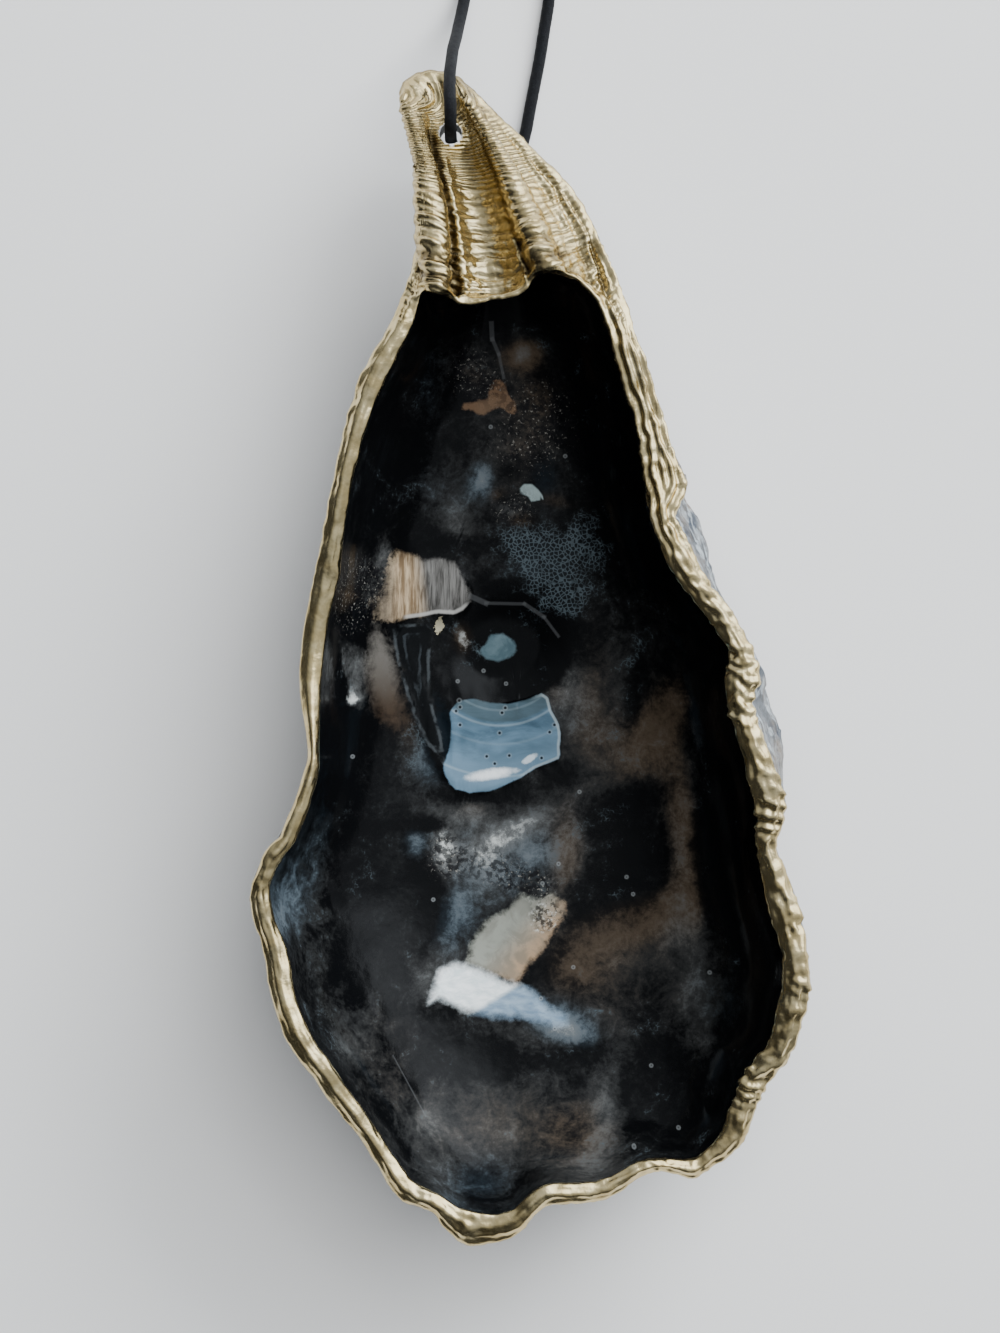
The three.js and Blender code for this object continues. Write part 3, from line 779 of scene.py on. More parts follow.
def distance_inside(points, outline):
    """Signed distance in plan to a closed outline: positive inside."""
    x, y = points[:, 0], points[:, 1]
    nearest = np.full(len(points), 1e9)
    inside = np.zeros(len(points), bool)
    for (ax, ay), (bx, by) in zip(outline, outline[1:] + outline[:1]):
        ex, ey = bx - ax, by - ay
        share = np.clip(((x - ax) * ex + (y - ay) * ey) / (ex * ex + ey * ey), 0, 1)
        nearest = np.minimum(nearest, np.hypot(x - ax - share * ex, y - ay - share * ey))
        crosses = ((ay > y) != (by > y)) & (x < ex * (y - ay) / (by - ay + 1e-12) + ax)
        inside ^= crosses
    return np.where(inside, nearest, -nearest)


def carve(mesh):
    """Move every point out or in by the relief of its zone, and note which points are in the bore
    and how much painted shade the hollows of the gold get."""
    points, normals = read_points(mesh)
    zone = read_layer(mesh, "zone")
    gilt = read_layer(mesh, "gilt")
    x, y = points[:, 0], points[:, 1]
    bore = np.hypot(x - HOLE[0], y - HOLE[1])
    in_bore = bore < HOLE_DIAMETER / 2 + BORE_SLACK
    hinge = ((y > PLATE_FROM) & (zone > 0) & (zone < 1)).astype(float)
    on_plate = smoothstep(*PLATE_EDGE, gilt) * hinge * smoothstep(40.5, 44, y)
    offset = np.zeros(len(points))
    back = zone < 0
    band = (zone >= 0) & (zone <= 1)
    cup = zone > 1
    offset[back] = back_surface(points[back], zone[back])
    offset[cup] = cup_surface(points[cup], zone[cup])
    rim = rim_surface(points, gilt)
    near_rim = smoothstep(-2.0, 0.3, gilt)
    plate = np.zeros(len(points))
    plate[band] = hinge_surface(points[band])
    fine = rim * near_rim * (1 - 0.75 * on_plate) + plate * on_plate
    # hollow is painted shade for the hollows of the gold, darker the deeper they lie.
    write_layer(mesh, "hollow", np.clip(-HOLLOW_SHADE * fine, 0, 1))
    offset += fine + HINGE_CARVE * hinge_relief(x, y) * on_plate
    offset[in_bore] = 0.0
    offset *= smoothstep(HOLE_DIAMETER / 2, HOLE_DIAMETER / 2 + HOLE_LIP, bore)
    points += normals * offset[:, None]
    points[:, 2] = np.maximum(points[:, 2], 0.0)
    write_points(mesh, points)
    write_layer(mesh, "bore", np.where(in_bore, 1.0, 0.0))


def make_shell(material):
    bm = base_mesh(Valve())
    for vert in bm.verts:
        vert.co = frame_point(*vert.co)
    piece = object_from(bm, "oyster_shell", material)
    drill_hole(piece)
    carve(piece.data)
    paint_layers(piece.data)
    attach(piece, "root")
    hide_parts("shell")
    return piece


# ---- Masks the materials read ----

# Soft spots of colour inside the cup: x, y, radii, strength and any turn in degrees.
CLOUDS = {
    "brown": [
        (-0.5, 37.6, 2.5, 1.9, 1.7), (0.5, 30, 5, 5, 0.5), (0, 24, 5, 4, 0.35), (-7, 35, 2.8, 2.2, 0.5),
        (2, 33, 3, 3, 0.45), (-0.5, 17.2, 1.9, 1.1, 1.1), (3.4, 19.8, 2.8, 1, 0.9, -15),
        (-3.6, 20.4, 1.4, 1, 0.7), (-16, 9, 4, 5, 0.6), (-21.6, 7.6, 1.3, 1.6, 1.2),
        (-17, 0, 1.6, 6, 0.5), (-16.6, -6, 1.6, 3.2, 0.8, -15), (-14, -9, 2.6, 4, 0.6),
        (-7.6, 2.6, 1.8, 2.8, 1.8), (3.2, -3, 2, 3, 0.8), (8.2, 0, 2.4, 8, 0.5), (8, -9, 4, 5, 0.55),
        (15.5, -8.5, 3.2, 7, 0.75, -32), (19.3, -21, 2.8, 10, 1.15, 4), (15.5, -31.5, 7, 3.4, 1.1, 22),
        (17, -7, 3.5, 9, 0.6, -25), (2, -54, 14, 7, 0.15), (8, -34, 6, 4, 0.6, 10),
        (5.2, -23.5, 2.6, 6, 0.9), (5.5, -38.5, 5, 3.5, 0.7), (-7, -18.6, 4, 1.5, 0.5),
        (5.5, -57.6, 5.5, 3.6, 0.7), (-6, -57, 6, 5, 0.35), (-18, -50, 6, 8, 0.35, 30),
        (14, -42, 8, 6, 0.4), (-16.5, -43, 3, 9, 0.35, 25),
    ],
    "haze": [
        (-11.8, 36, 1.8, 8, 0.32), (-17.5, 31.5, 1.6, 3, 0.4, -25), (-1.5, 41.5, 1, 2.6, 0.45, 15),
        (-6.5, 35.5, 3.4, 3.2, 0.45), (2, 30.5, 4.4, 4.5, 0.4), (-3, 26.5, 5, 3, 0.35),
        (-12.5, 21, 4.2, 4.6, 0.4), (-8.4, 16.6, 1.8, 3.4, 0.75, 20), (-5.7, 22.3, 1.6, 2.3, 0.9),
        (-2.2, 18.6, 1.6, 1.2, 0.9), (2.6, 12, 7, 6, 0.3), (-17.4, 14, 1.2, 3, 0.6),
        (-17.6, 9.4, 3.2, 4.4, 0.85), (-23.2, 0, 2.2, 5.5, 0.9), (-20.5, -1.5, 1.2, 4.5, 0.7),
        # The small strong spot at -21.2, -4.8 is a painted highlight on the knob.
        (-21.5, 11, 2, 3, 0.5), (-21.2, -4.8, 1.4, 0.8, 1.3), (-7.8, 2.6, 1.2, 2.4, 1.4, 15),
        (4, -3, 3, 4, 0.5), (8, -8, 5, 8, 0.42), (15.5, -9, 3, 7, 0.6, -32),
        (20.9, -14, 1.4, 7, 0.6, 5), (18.8, -23, 2.4, 11, 0.8, 4), (-0.5, 37.6, 2.2, 1.7, 0.9),
        (4, -4, 5, 6, 0.3), (3, -53, 12, 6, 0.15), (18.3, -32.4, 1.6, 3, 0.35),
        (-12.5, -12.5, 3, 4, 0.5), (-7.6, -19, 4.6, 1.6, 0.8, -4), (-10.2, -23.6, 1.5, 2.8, 1.55, 5),
        (-13.7, -22.5, 1.4, 2.3, 0.8), (-4.2, -22.6, 3.8, 1.7, 0.95, 20), (0.2, -20, 3.4, 1.6, 0.8, 20),
        (0.4, -24.2, 2.2, 2.6, 0.7, -25), (-5.5, -28, 4.5, 3.4, 0.6, 20), (-5.5, -24, 5, 4.5, 0.7),
        (5.4, -23.5, 3.4, 6, 0.75), (-9.5, -34, 3, 5, 0.55, -30), (-12, -39.5, 2.6, 3.4, 0.7),
        (2.1, -31.7, 1.7, 1.9, 1.2), (-1.2, -46.6, 3.4, 2.2, 0.7, -20), (4.6, -45.4, 4, 2.4, 0.95, -15),
        (9, -36.5, 5, 4, 0.5), (16, -33.5, 5, 3.6, 0.55, 30), (20.8, -41.5, 2.6, 4.4, 0.45),
        (21.4, -47, 2.2, 2.4, 0.55), (9.6, -55.4, 2, 4.5, 0.8, -10), (30.2, -37.2, 0.9, 2, 1.1),
        (-12, -56, 3.4, 3, 0.5), (-2.5, -58, 8, 4.5, 0.45), (-18, -46, 3, 10, 0.4, 25),
        (-22, -46.5, 2.6, 2.6, 0.5), (-28.8, -29, 2.4, 6.5, 0.8, -12), (-22, -22, 4, 16, 0.28, 5),
        (-10, -62.5, 2.2, 3.4, 0.5, 30), (14, -45, 8, 6, 0.35), (7, -61, 4, 2.6, 0.5),
        (23, -36, 4, 6, 0.35), (22.2, 6, 1.2, 4, 0.5, 25),
    ],
    "blue": [
        (-12.2, 35, 3, 9, 0.55), (-5.7, 22.3, 1.8, 2.6, 0.9), (2.2, 23, 1.8, 3, 0.8),
        (2.6, 12, 8, 7, 0.5), (-17, -1, 1.4, 5, 0.5, -10), (-11, -8, 2, 5, 0.9, 10),
        (-13.7, -22.5, 1.8, 2.6, 1), (0.8, -24.2, 2.6, 3, 0.6, -25), (-5, -25.5, 6, 6, 0.5),
        (-9.5, -32.5, 3.4, 5, 0.8, -30), (3.6, -44.6, 4, 3, 0.9), (7, -46.5, 3, 2, 0.8, -20),
        (-28.8, -28, 3, 8, 0.9, -12), (-24, -14, 2.2, 10, 0.7), (-12, -13, 3, 4, 0.6),
        (8, -20, 4, 3, 0.3), (-6, -63, 5, 3, 0.6), (25, -42, 5, 7, 0.5), (21.8, 6, 2, 5, 0.6, 25),
        (-12.5, 21, 4, 5, 0.4), (0.3, -7, 9, 3, 0.4),
    ],
    "dark": [
        # The long spots down the right wall and the wide one over the cavity under the hinge plate are
        # painted shade; the rest are dark marks in the varnish.
        (-19, -12, 5, 18, 0.35), (-18, -36, 6, 16, 0.35, 12), (14, 30, 4, 16, 1, 10),
        (-14, 28, 5, 14, 0.5, -12), (-2, 45.5, 13, 4, 2.2), (8.5, 33, 3.6, 12, 1.6, 10),
        (12, 18, 3, 12, 1, 15), (-18.4, 22, 2.2, 10, 0.9, -10), (-15, 17, 1.5, 5, 0.6),
        (-10, 14.2, 4, 1.2, 1.2), (-21, 4.6, 2.8, 2.2, 1.1), (-22.8, -1.5, 0.5, 4, 1.4, 8),
        (-17.8, 4.4, 1.8, 0.8, 0.6), (-2.5, 5.2, 5, 1.8, 1.6), (2.4, 2.6, 2.4, 3, 1.6),
        (-2.5, 0.5, 5.5, 4.5, 1.5), (-2, 1.5, 6, 5, 1.2), (-3, -2.6, 5, 1.6, 1.4),
        (-1, 8.8, 4, 1.2, 0.7), (-15.3, 0.4, 1, 4.6, 1.5, 10), (-13.5, -4, 1.2, 7.5, 1.3, 18),
        (-11.3, -11.6, 0.6, 2.6, 1.2, 24), (-22.6, -12, 1.8, 8, 1.2), (-20, -26, 3, 10, 0.4),
        (-12.4, -20.4, 3, 1, 1.1), (-12.2, -30, 1.8, 4, 1.3), (-6, -16.8, 4, 0.5, 0.8),
        (-5, -48.4, 9, 2.4, 0.6), (13, -23.6, 4.4, 4.6, 1.4, 20), (12, -18, 4.5, 1.6, 1.3, 25),
        (11, -27.6, 3, 2, 1.2), (13.6, -3, 1, 5, 1, -10), (24.5, -12, 3, 22, 1.7, 6),
        (27, -31, 3, 8, 1.2, 5), (3, -36.6, 0.8, 3.2, 0.8, -35), (6.6, -29.4, 1.2, 2.6, 0.7),
        (6, -48.6, 3.6, 1.2, 0.8, 10), (18, -52, 6, 7, 0.7), (-25, -47, 2.4, 4, 0.8, 20),
        (22, -23, 1.2, 9, 1, 4), (15, -44, 2, 3, 0.4), (26, -46, 2.6, 4, 0.6, -10),
        (4.2, -14.2, 2, 1.4, 0.7, 20),
    ],
    "mottle": [
        (-6.5, 35.2, 3.2, 3.2, 0.8), (-21.6, 7.5, 2.6, 4.5, 1), (-19.5, 9.5, 3, 3, 0.6),
        (1.5, 31, 5, 5, 0.6), (0, 25.5, 6, 4, 0.5), (-10.2, -24, 2.2, 3.6, 0.7), (-5, -25, 5, 3, 0.5),
        (0.5, -27.5, 4, 2, 0.7), (2.6, -31.6, 2, 2, 0.9), (-1.5, 18.5, 3, 2, 0.8),
    ],
    "crackle": [
        (0, 14.4, 4.5, 3, 1, -10), (6.5, 14, 4, 4, 1), (4.4, 8, 4, 3, 0.9),
    ],
}


def paint_layers(mesh):
    """Write what the materials read at each point of the shell."""
    points, _ = read_points(mesh)
    zone = read_layer(mesh, "zone")
    x, y = points[:, 0], points[:, 1]
    for layer, clouds in CLOUDS.items():
        write_layer(mesh, layer, sum(strength * gaussian(x, y, cx, cy, rx, ry, *turn)
                                     for cx, cy, rx, ry, strength, *turn in clouds))
    for layer, outline in OUTLINES.items():
        write_layer(mesh, layer, distance_inside(points, outline))
    write_layer(mesh, "growth", growth_lines(points, growth_warp(points)))
    streaks = wound(angle_round_patch(points), 7, -zone * 0.9)
    write_layer(mesh, "streak", noise_at(streaks, 1.0, 3, seed=91.0))
    write_layer(mesh, "below", np.clip(-zone, 0, 1))
    on_hinge = (y > PLATE_FROM) & (zone > 0) & (zone < 1)
    gilt = read_layer(mesh, "gilt")
    write_layer(mesh, "plate", np.where(on_hinge, smoothstep(*PLATE_EDGE, gilt), 0.0))


# ---- Materials ----

class Value:
    """What a node gives out: a number or colour to go on working with."""

    def __init__(self, graph, socket):
        self.graph, self.socket = graph, socket

    def __add__(self, other):
        return self.graph.math("ADD", self, other)

    def __sub__(self, other):
        return self.graph.math("SUBTRACT", self, other)

    def __rsub__(self, other):
        return self.graph.math("SUBTRACT", other, self)

    def __mul__(self, other):
        return self.graph.math("MULTIPLY", self, other)

    def size(self):
        return self.graph.math("ABSOLUTE", self)

    def step(self, low, high):
        """0 at low and 1 at high, with a smooth change between them."""
        ends = {"Value": self, "From Min": low, "From Max": high}
        return self.graph.node("MapRange", ends, interpolation_type="SMOOTHSTEP")

    def coat(self, share, paint):
        """This colour with a share of another over it."""
        return self.graph.mix(share, self, paint)


class Graph:
    """A short way to write nodes."""

    def __init__(self, tree):
        self.tree = tree

    def put(self, socket, value):
        if isinstance(value, Value):
            self.tree.links.new(value.socket, socket)
        elif isinstance(value, tuple) and socket.type == "RGBA":
            socket.default_value = (*value, 1.0)
        else:
            socket.default_value = value

    def node(self, kind, inputs, output=0, **settings):
        """Add a node, set it up, feed its inputs and return one of its outputs."""
        node = self.tree.nodes.new("ShaderNode" + kind)
        for name, value in settings.items():
            setattr(node, name, value)
        for name, value in inputs.items():
            self.put(node.inputs[name], value)
        return Value(self, node.outputs[output])

    def math(self, operation, a, b=0.0):
        return self.node("Math", {0: a, 1: b}, operation=operation)

    def vector(self, operation, output, *inputs):
        return self.node("VectorMath", dict(enumerate(inputs)), output, operation=operation)

    def mix(self, share, a, b):
        """Mix of two colours."""
        return self.node("Mix", {0: share, 6: a, 7: b}, 2, data_type="RGBA")

    def blend(self, share, a, b):
        """Mix of two numbers."""
        return self.node("Mix", {0: share, 2: a, 3: b}, data_type="FLOAT")

    def attribute(self, name):
        return self.node("Attribute", {}, "Fac", attribute_name=name)


class Material(Graph):
    """The nodes of a new material, with places in the shell's plan and a shader to fill in."""

    def __init__(self, name):
        self.material = bpy.data.materials.new(name)
        self.material.use_nodes = True
        super().__init__(self.material.node_tree)
        self.tree.nodes.clear()
        self.shader = self.tree.nodes.new("ShaderNodeBsdfPrincipled")
        output = self.tree.nodes.new("ShaderNodeOutputMaterial")
        self.tree.links.new(self.shader.outputs["BSDF"], output.inputs["Surface"])
        where = self.node("TexCoord", {}, "Object")
        self.place = self.vector("MULTIPLY_ADD", "Vector", where, (1 / MM,) * 3, (*MIDDLE, 0.0))
        self.flat = self.vector("MULTIPLY", "Vector", self.place, (1.0, 1.0, 0.0))

    def set(self, name, value):
        self.put(self.shader.inputs[name], value)

    def bump(self, height, distance):
        self.set("Normal", self.node("Bump", {"Distance": distance * MM, "Height": height}))

    def noise(self, size, detail=3.0, distortion=0.0, roughness=0.5, place=None):
        return self.node("TexNoise", {"Vector": place or self.place, "Scale": 1 / size, "Detail": detail,
                                      "Roughness": roughness, "Distortion": distortion})

    def cracks(self, size, randomness):
        """Distance to the nearest edge of a net of cells."""
        cells = {"Vector": self.place, "Scale": 1 / size, "Randomness": randomness}
        return self.node("TexVoronoi", cells, "Distance", feature="DISTANCE_TO_EDGE")

    def stretched(self, sx, sy, sz, turn):
        turned = (0, 0, math.radians(turn))
        return self.node("Mapping", {"Vector": self.place, "Rotation": turned, "Scale": (sx, sy, sz)})

    def plane(self, nx, ny, offset):
        """nx * x + ny * y - offset."""
        return self.vector("DOT_PRODUCT", "Value", self.place, (nx, ny, 0.0)) - offset

    def distance(self, x, y):
        """Distance in plan from a point."""
        return self.vector("DISTANCE", "Value", self.flat, (x, y, 0.0))

    def nearest(self, centres):
        """Distance in plan to the nearest of some points."""
        near, *others = [self.distance(*centre) for centre in centres]
        for other in others:
            near = self.math("MINIMUM", near, other)
        return near

    def spot(self, cx, cy, rx, ry, turn):
        """1 in the middle of an oval, 0 on its edge and less than that outside."""
        c, s = math.cos(math.radians(turn)), math.sin(math.radians(turn))
        u = self.plane(c / rx, s / rx, (cx * c + cy * s) / rx)
        v = self.plane(-s / ry, c / ry, (-cx * s + cy * c) / ry)
        return 1.0 - (u * u + v * v)

    def segment(self, start, end):
        """Distance in plan to a straight piece of line."""
        length = math.dist(start, end)
        ux, uy = (end[0] - start[0]) / length, (end[1] - start[1]) / length
        run = self.plane(ux, uy, start[0] * ux + start[1] * uy)
        side = self.plane(-uy, ux, -start[0] * uy + start[1] * ux).size()
        return self.math("MAXIMUM", side, self.math("MAXIMUM", run * -1.0, run - length))


VARNISH_SPECULAR = 0.1
BLACK = (0.0022, 0.0024, 0.0028)
SMOKE = (0.028, 0.029, 0.029)
PORE = (0.003, 0.003, 0.004)
BARE_BORE = (0.62, 0.62, 0.6)
GOLD_LEAF = (0.9, 0.8, 0.55)
GOLD, BRIGHT_GOLD = (0.58, 0.45, 0.22), (0.74, 0.61, 0.34)
# Colours of the painted shade in the troughs of the gold's growth lines and in its hollows.
GOLD_TROUGH_SHADE, GOLD_SHADE = (0.16, 0.11, 0.045), (0.07, 0.045, 0.017)
VARNISH_ROUGHNESS = (0.1, 0.22)
GOLD_ROUGHNESS = (0.16, 0.32)
CHALK_ROUGHNESS = 0.8
BORE_ROUGHNESS = 0.85
SHELL_BUMP = 0.28           # in millimetres; the next three are shares of it
GOLD_LEATHER, GOLD_STRIAE, VARNISH_WAVES = 0.3, 0.22, 0.25
CORD_SPECULAR = 0.25
CORD_BUMP = 0.12


def ragged_noise(g):
    """Cloudy noise round 0 that frays every edge in the cup."""
    broad = g.noise(8.0, 5.0, 1.0, 0.6) - 0.5
    cloud = g.noise(3.0, 8.0, 0.7, 0.66) - 0.5
    fine = g.noise(0.7, 7.0, 0.3, 0.78) - 0.5
    return broad * 1.5 + (cloud * 1.5 + fine * 1.3)


def cup_clouds(g, ragged):
    """Black varnished ground with smoky grey, brown and slate clouds drifting through it."""
    # dark carries painted shade down the right wall and under the hinge plate as well as black marks; haze
    # carries smoky clouds and the painted highlight on the knob.
    dark, haze = g.attribute("dark"), g.attribute("haze")
    tone = haze - dark * 1.1 + ragged * 0.9
    colour = g.mix(tone.step(-0.15, 0.8), BLACK, SMOKE)
    colour = colour.coat((ragged - dark * 0.35).step(-0.35, 0.9) * 0.55, SMOKE)
    brown, blue = (g.attribute(name) + ragged * 0.7 - dark * 0.6 for name in ("brown", "blue"))
    rust = g.mix((tone + brown * 0.6).step(0.15, 1.4), (0.008, 0.006, 0.0045), (0.062, 0.045, 0.03))
    colour = colour.coat(brown.step(0.1, 1.1) * 0.85, rust)
    slate = g.mix(tone.step(0.15, 1.15), (0.004, 0.008, 0.012), (0.08, 0.11, 0.135))
    colour = colour.coat(blue.step(0.1, 0.95) * 0.85, slate)
    grey = (haze + ragged - dark * 0.5).step(0.5, 1.45)
    colour = colour.coat(grey * 0.6, (0.13, 0.135, 0.135))
    return colour.coat((haze + ragged * 1.3).step(1.25, 2.0) * 0.9, (0.52, 0.54, 0.52))


def cup_net(g, colour, ragged):
    """Fine grey net of cracks."""
    net = g.cracks(0.5, 0.9).step(0.15, 0.04)
    patch = (g.attribute("crackle") + ragged * 1.6).step(0.3, 1.15)
    colour = colour.coat(patch * 0.7, (0.006, 0.008, 0.01))
    return colour.coat(net * patch, (0.06, 0.08, 0.092))


def cup_ledge(g, colour, ragged):
    """Fibrous ledge: tan to the left, grey to the right, with a painted highlight along its lower lip."""
    fibres = g.noise(1.0, 6.0, 0.3, 0.62, g.stretched(1.9, 0.16, 0.4, -7.0))
    tan = g.mix(fibres.step(0.38, 0.62), (0.17, 0.115, 0.065), (0.52, 0.4, 0.26))
    grey = g.mix(fibres.step(0.38, 0.64), (0.045, 0.043, 0.04), (0.19, 0.185, 0.175))
    left = g.plane(1.0, 0.0, -16.6).step(1.2, -1.0)
    right = g.plane(1.0, 0.12, -12.0).step(-1.2, 1.2)
    fibre_colour = g.mix(right, tan, grey).coat(left * 0.8, (0.23, 0.19, 0.14))
    inside = g.attribute("ledge")
    share = (inside + ragged * g.blend(left, 0.7, 2.4)).step(-0.2, 0.5)
    share = share * (g.plane(1.0, 0.0, -17.6) + ragged * 3.0).step(-2.2, 2.2)
    fade = g.plane(0.0, 1.0, 13.5).step(0.5, -2.5)
    colour = colour.coat(share * g.blend(fade, 0.4, 0.92), fibre_colour)
    # Painted highlight along the lower lip of the ledge.
    low = g.plane(-0.16, 1.0, 7.9).step(0.7, -0.1) * g.plane(1.0, 0.0, -15.0).step(-0.4, 0.4)
    lip = inside.step(-0.15, 0.1) * inside.step(0.55, 0.25) * low
    return colour.coat(lip * 0.65, (0.6, 0.59, 0.56))


def cup_blade(g, colour, ragged):
    """Dark blade with grey edges that runs from the ledge to the muscle scar."""
    inside = g.attribute("blade") + ragged * 0.35
    colour = colour.coat(inside.step(-0.5, 0.4) * 0.95, (0.003, 0.0035, 0.004))
    glints = g.noise(2.2, 4.0, 0.5).step(0.4, 0.6)
    colour = colour.coat(inside.size().step(0.32, 0.05) * glints * 0.5, (0.08, 0.092, 0.1))
    ridge = (inside - 1.1).size().step(0.22, 0.04)
    return colour.coat(ridge * glints * 0.4, (0.05, 0.06, 0.068))


def cup_scar(g, colour, ragged):
    """Nacre of the muscle scar, with growth arcs, gleams and a painted highlight along its right and lower
    right edge.
    """
    inside = g.attribute("scar")
    rings = g.distance(-3.2, 2.2)
    flow = g.noise(1.0, 5.0, 0.6, 0.6, g.stretched(0.16, 0.5, 1.0, 10.0))
    nacre = g.mix(flow.step(0.3, 0.7), (0.04, 0.08, 0.115), (0.11, 0.19, 0.265))
    nacre = nacre.coat(rings.step(10.6, 18.0) * 0.75, (0.165, 0.265, 0.355))
    nacre = nacre.coat(rings.step(10.2, 9.6) * 0.65, (0.05, 0.075, 0.08))
    for radius, strength in ((10.3, 0.22), (8.4, 0.1), (12.6, 0.08), (16.6, 0.25)):
        nacre = nacre.coat((rings - radius).size().step(0.25, 0.02) * strength, (0.45, 0.55, 0.6))
    gleam = (g.spot(-4.4, -14.1, 4.4, 1.0, 8) + ragged * 0.5).step(0.2, 1.0)
    nacre = nacre.coat(gleam, (0.86, 0.9, 0.92))
    gleam = (g.spot(0.4, -12.2, 1.6, 0.6, 30) + ragged * 0.8).step(0.4, 0.95)
    nacre = nacre.coat(gleam * 0.7, (0.7, 0.78, 0.82))
    colour = colour.coat((inside + ragged * 0.25).step(-0.12, 0.14) * 0.95, nacre)
    # Painted highlight along the scar's raised right edge.
    rim_highlight = inside.step(-0.1, 0.08) * inside.step(0.42, 0.2)
    rim_highlight = rim_highlight * g.plane(1.0, -0.2, 2.2).step(-1.0, 1.4)
    return colour.coat(rim_highlight * 0.4, (0.5, 0.58, 0.6))


def cup_patches(g, colour, ragged):
    """Beige cloud and white and tan patches lower in the cup, the white one partly a painted reflection,
    and the marks near the hinge, one a painted highlight on a small dome.
    """
    low = g.plane(0.0, 1.0, -3.0).step(-4.0, 5.0)
    feather_colour = g.mix(low, (0.05, 0.034, 0.022), (0.15, 0.14, 0.125))
    feather = (g.attribute("feather") + ragged * 1.8).step(-0.6, 1.6)
    colour = colour.coat(feather * 0.7, feather_colour)
    smooth = g.noise(2.4, 5.0, 0.6, 0.6)
    tan = g.mix(g.plane(0.76, -0.65, 22.4).step(-2.6, 2.2), (0.25, 0.26, 0.225), (0.36, 0.25, 0.155))
    tan = tan.coat(smooth.step(0.6, 0.4) * 0.5, (0.13, 0.125, 0.105))
    colour = colour.coat((g.attribute("tan") + ragged * 1.1).step(-0.35, 0.75) * 0.9, tan)
    crystal = g.spot(2.1, -31.9, 2.4, 2.4, 0).step(0.25, 0.6) * g.noise(0.5, 6.0, 0.3, 0.7).step(0.5, 0.64)
    colour = colour.coat(crystal * 0.8, (0.52, 0.53, 0.49))
    # The white and blue patch below is partly milky shell and partly a painted reflection of a window.
    streaks = g.noise(1.0, 5.0, 0.4, 0.6, g.stretched(0.55, 1.1, 1.0, 25.0)).step(0.3, 0.7)
    white = g.mix(streaks, (0.6, 0.68, 0.7), (0.9, 0.94, 0.95))
    blue = g.mix(streaks, (0.16, 0.24, 0.33), (0.3, 0.4, 0.5))
    white = white.coat(g.plane(0.515, -0.857, 33.76).step(-0.3, 0.5), blue)
    colour = colour.coat((g.attribute("white") + ragged * 0.8).step(-0.6, 0.9) * 0.95, white)
    rust = g.mix(smooth, (0.12, 0.065, 0.034), (0.18, 0.12, 0.075))
    colour = colour.coat((g.attribute("splat") + ragged * 0.5).step(-0.12, 0.25) * 0.85, rust)
    # Painted highlight on the small dome.
    colour = colour.coat(g.attribute("dome").step(-0.1, 0.15) * 0.85, (0.3, 0.38, 0.38))
    lens_colour = g.mix(smooth.step(0.35, 0.65), (0.06, 0.105, 0.125), (0.115, 0.175, 0.2))
    return colour.coat((g.attribute("lens") + ragged * 0.4).step(-0.1, 0.3) * 0.9, lens_colour)


def mottling(g, colour):
    """Small ragged black islands and pale crumbs."""
    zone = g.attribute("mottle")
    islands = g.noise(0.75, 5.0, 0.3, 0.62).step(0.54, 0.44) * zone.step(0.15, 0.6)
    colour = colour.coat(islands * 0.8, (0.004, 0.004, 0.005))
    crumbs = g.noise(0.34, 4.0, 0.1, 0.6).step(0.6, 0.68) * zone.step(0.2, 0.7)
    return colour.coat(crumbs * 0.6, (0.3, 0.29, 0.26))


# Thin pale lines in the cup, as straight pieces with a width: the thread near the hinge, the rim
# of the pit and a scratch.
THREADS = [
    ((-4.3, 41.2), (-4.2, 39.4), 0.26), ((-4.2, 39.4), (-3.4, 37.6), 0.2),
    ((-3.4, 37.6), (-2.8, 34.8), 0.15), ((-6.8, 7.9), (-5.0, 7.1), 0.3),
    ((-5.0, 7.1), (-0.2, 7.0), 0.16), ((-0.2, 7.0), (2.2, 5.4), 0.2),
    ((2.2, 5.4), (4.0, 3.0), 0.14), ((-16.3, -48.2), (-12.3, -55.5), 0.02),
]


def threads(g, colour):
    """The thin pale lines of THREADS."""
    for start, end, width in THREADS:
        line = g.segment(start, end).step(width + 0.12, width - 0.06)
        colour = colour.coat(line * 0.3, (0.12, 0.125, 0.13))
    return colour


PINHOLES = [(-8.3, -5.0), (-8.2, -5.8), (-8.7, -6.3), (-8.2, -8.0), (-2.6, -5.9), (-3.0, -6.5),
            (-3.3, -9.0), (-4.9, -11.9), (-2.1, -11.8), (-3.9, -12.8), (3.5, -8.0), (2.9, -8.9),
            (1.9, -12.1)]
BUBBLES = [(4.0, -25.2), (2.0, -27.6), (-11.5, -29.6), (18.4, -56.7), (12.9, -58.6), (15.3, -49.7),
           (-21.3, -11.8), (6.6, -16.3), (5.8, -37.9), (22.4, -38.2), (13.2, -28.9), (12.4, -26.8),
           (1.8, -41.7), (3.5, -45.4), (-8.5, -2.6), (-5.3, -1.3), (-2.5, -2.9), (4.8, 25.2),
           (-4.4, 28.8)]


def pinholes(g, colour):
    """Tiny dark pores with a pale lip in the nacre, and bubbles in the varnish, each with a painted
    highlight for its pale ring.
    """
    for spots, radius, lip, core in ((PINHOLES, 0.22, 0.15, 0.95), (BUBBLES, 0.15, 0.22, 0.6)):
        away = g.nearest(spots)
        # A pale lip round each pore, and a painted highlight round each bubble.
        colour = colour.coat(away.step(radius + 0.18, radius + 0.06) * lip, (0.42, 0.45, 0.46))
        colour = colour.coat(away.step(radius, radius - 0.1) * core, PORE)
    return colour


def fleck(g, colour):
    """A fleck of gold leaf that fell below the ledge, and how much of a point it covers."""
    ragged = g.noise(0.35, 3.0) - 0.5
    share = (g.spot(-10.8, 4.3, 0.75, 1.35, -12) + ragged * 1.6).step(0.4, 0.52)
    return colour.coat(share, GOLD_LEAF), share


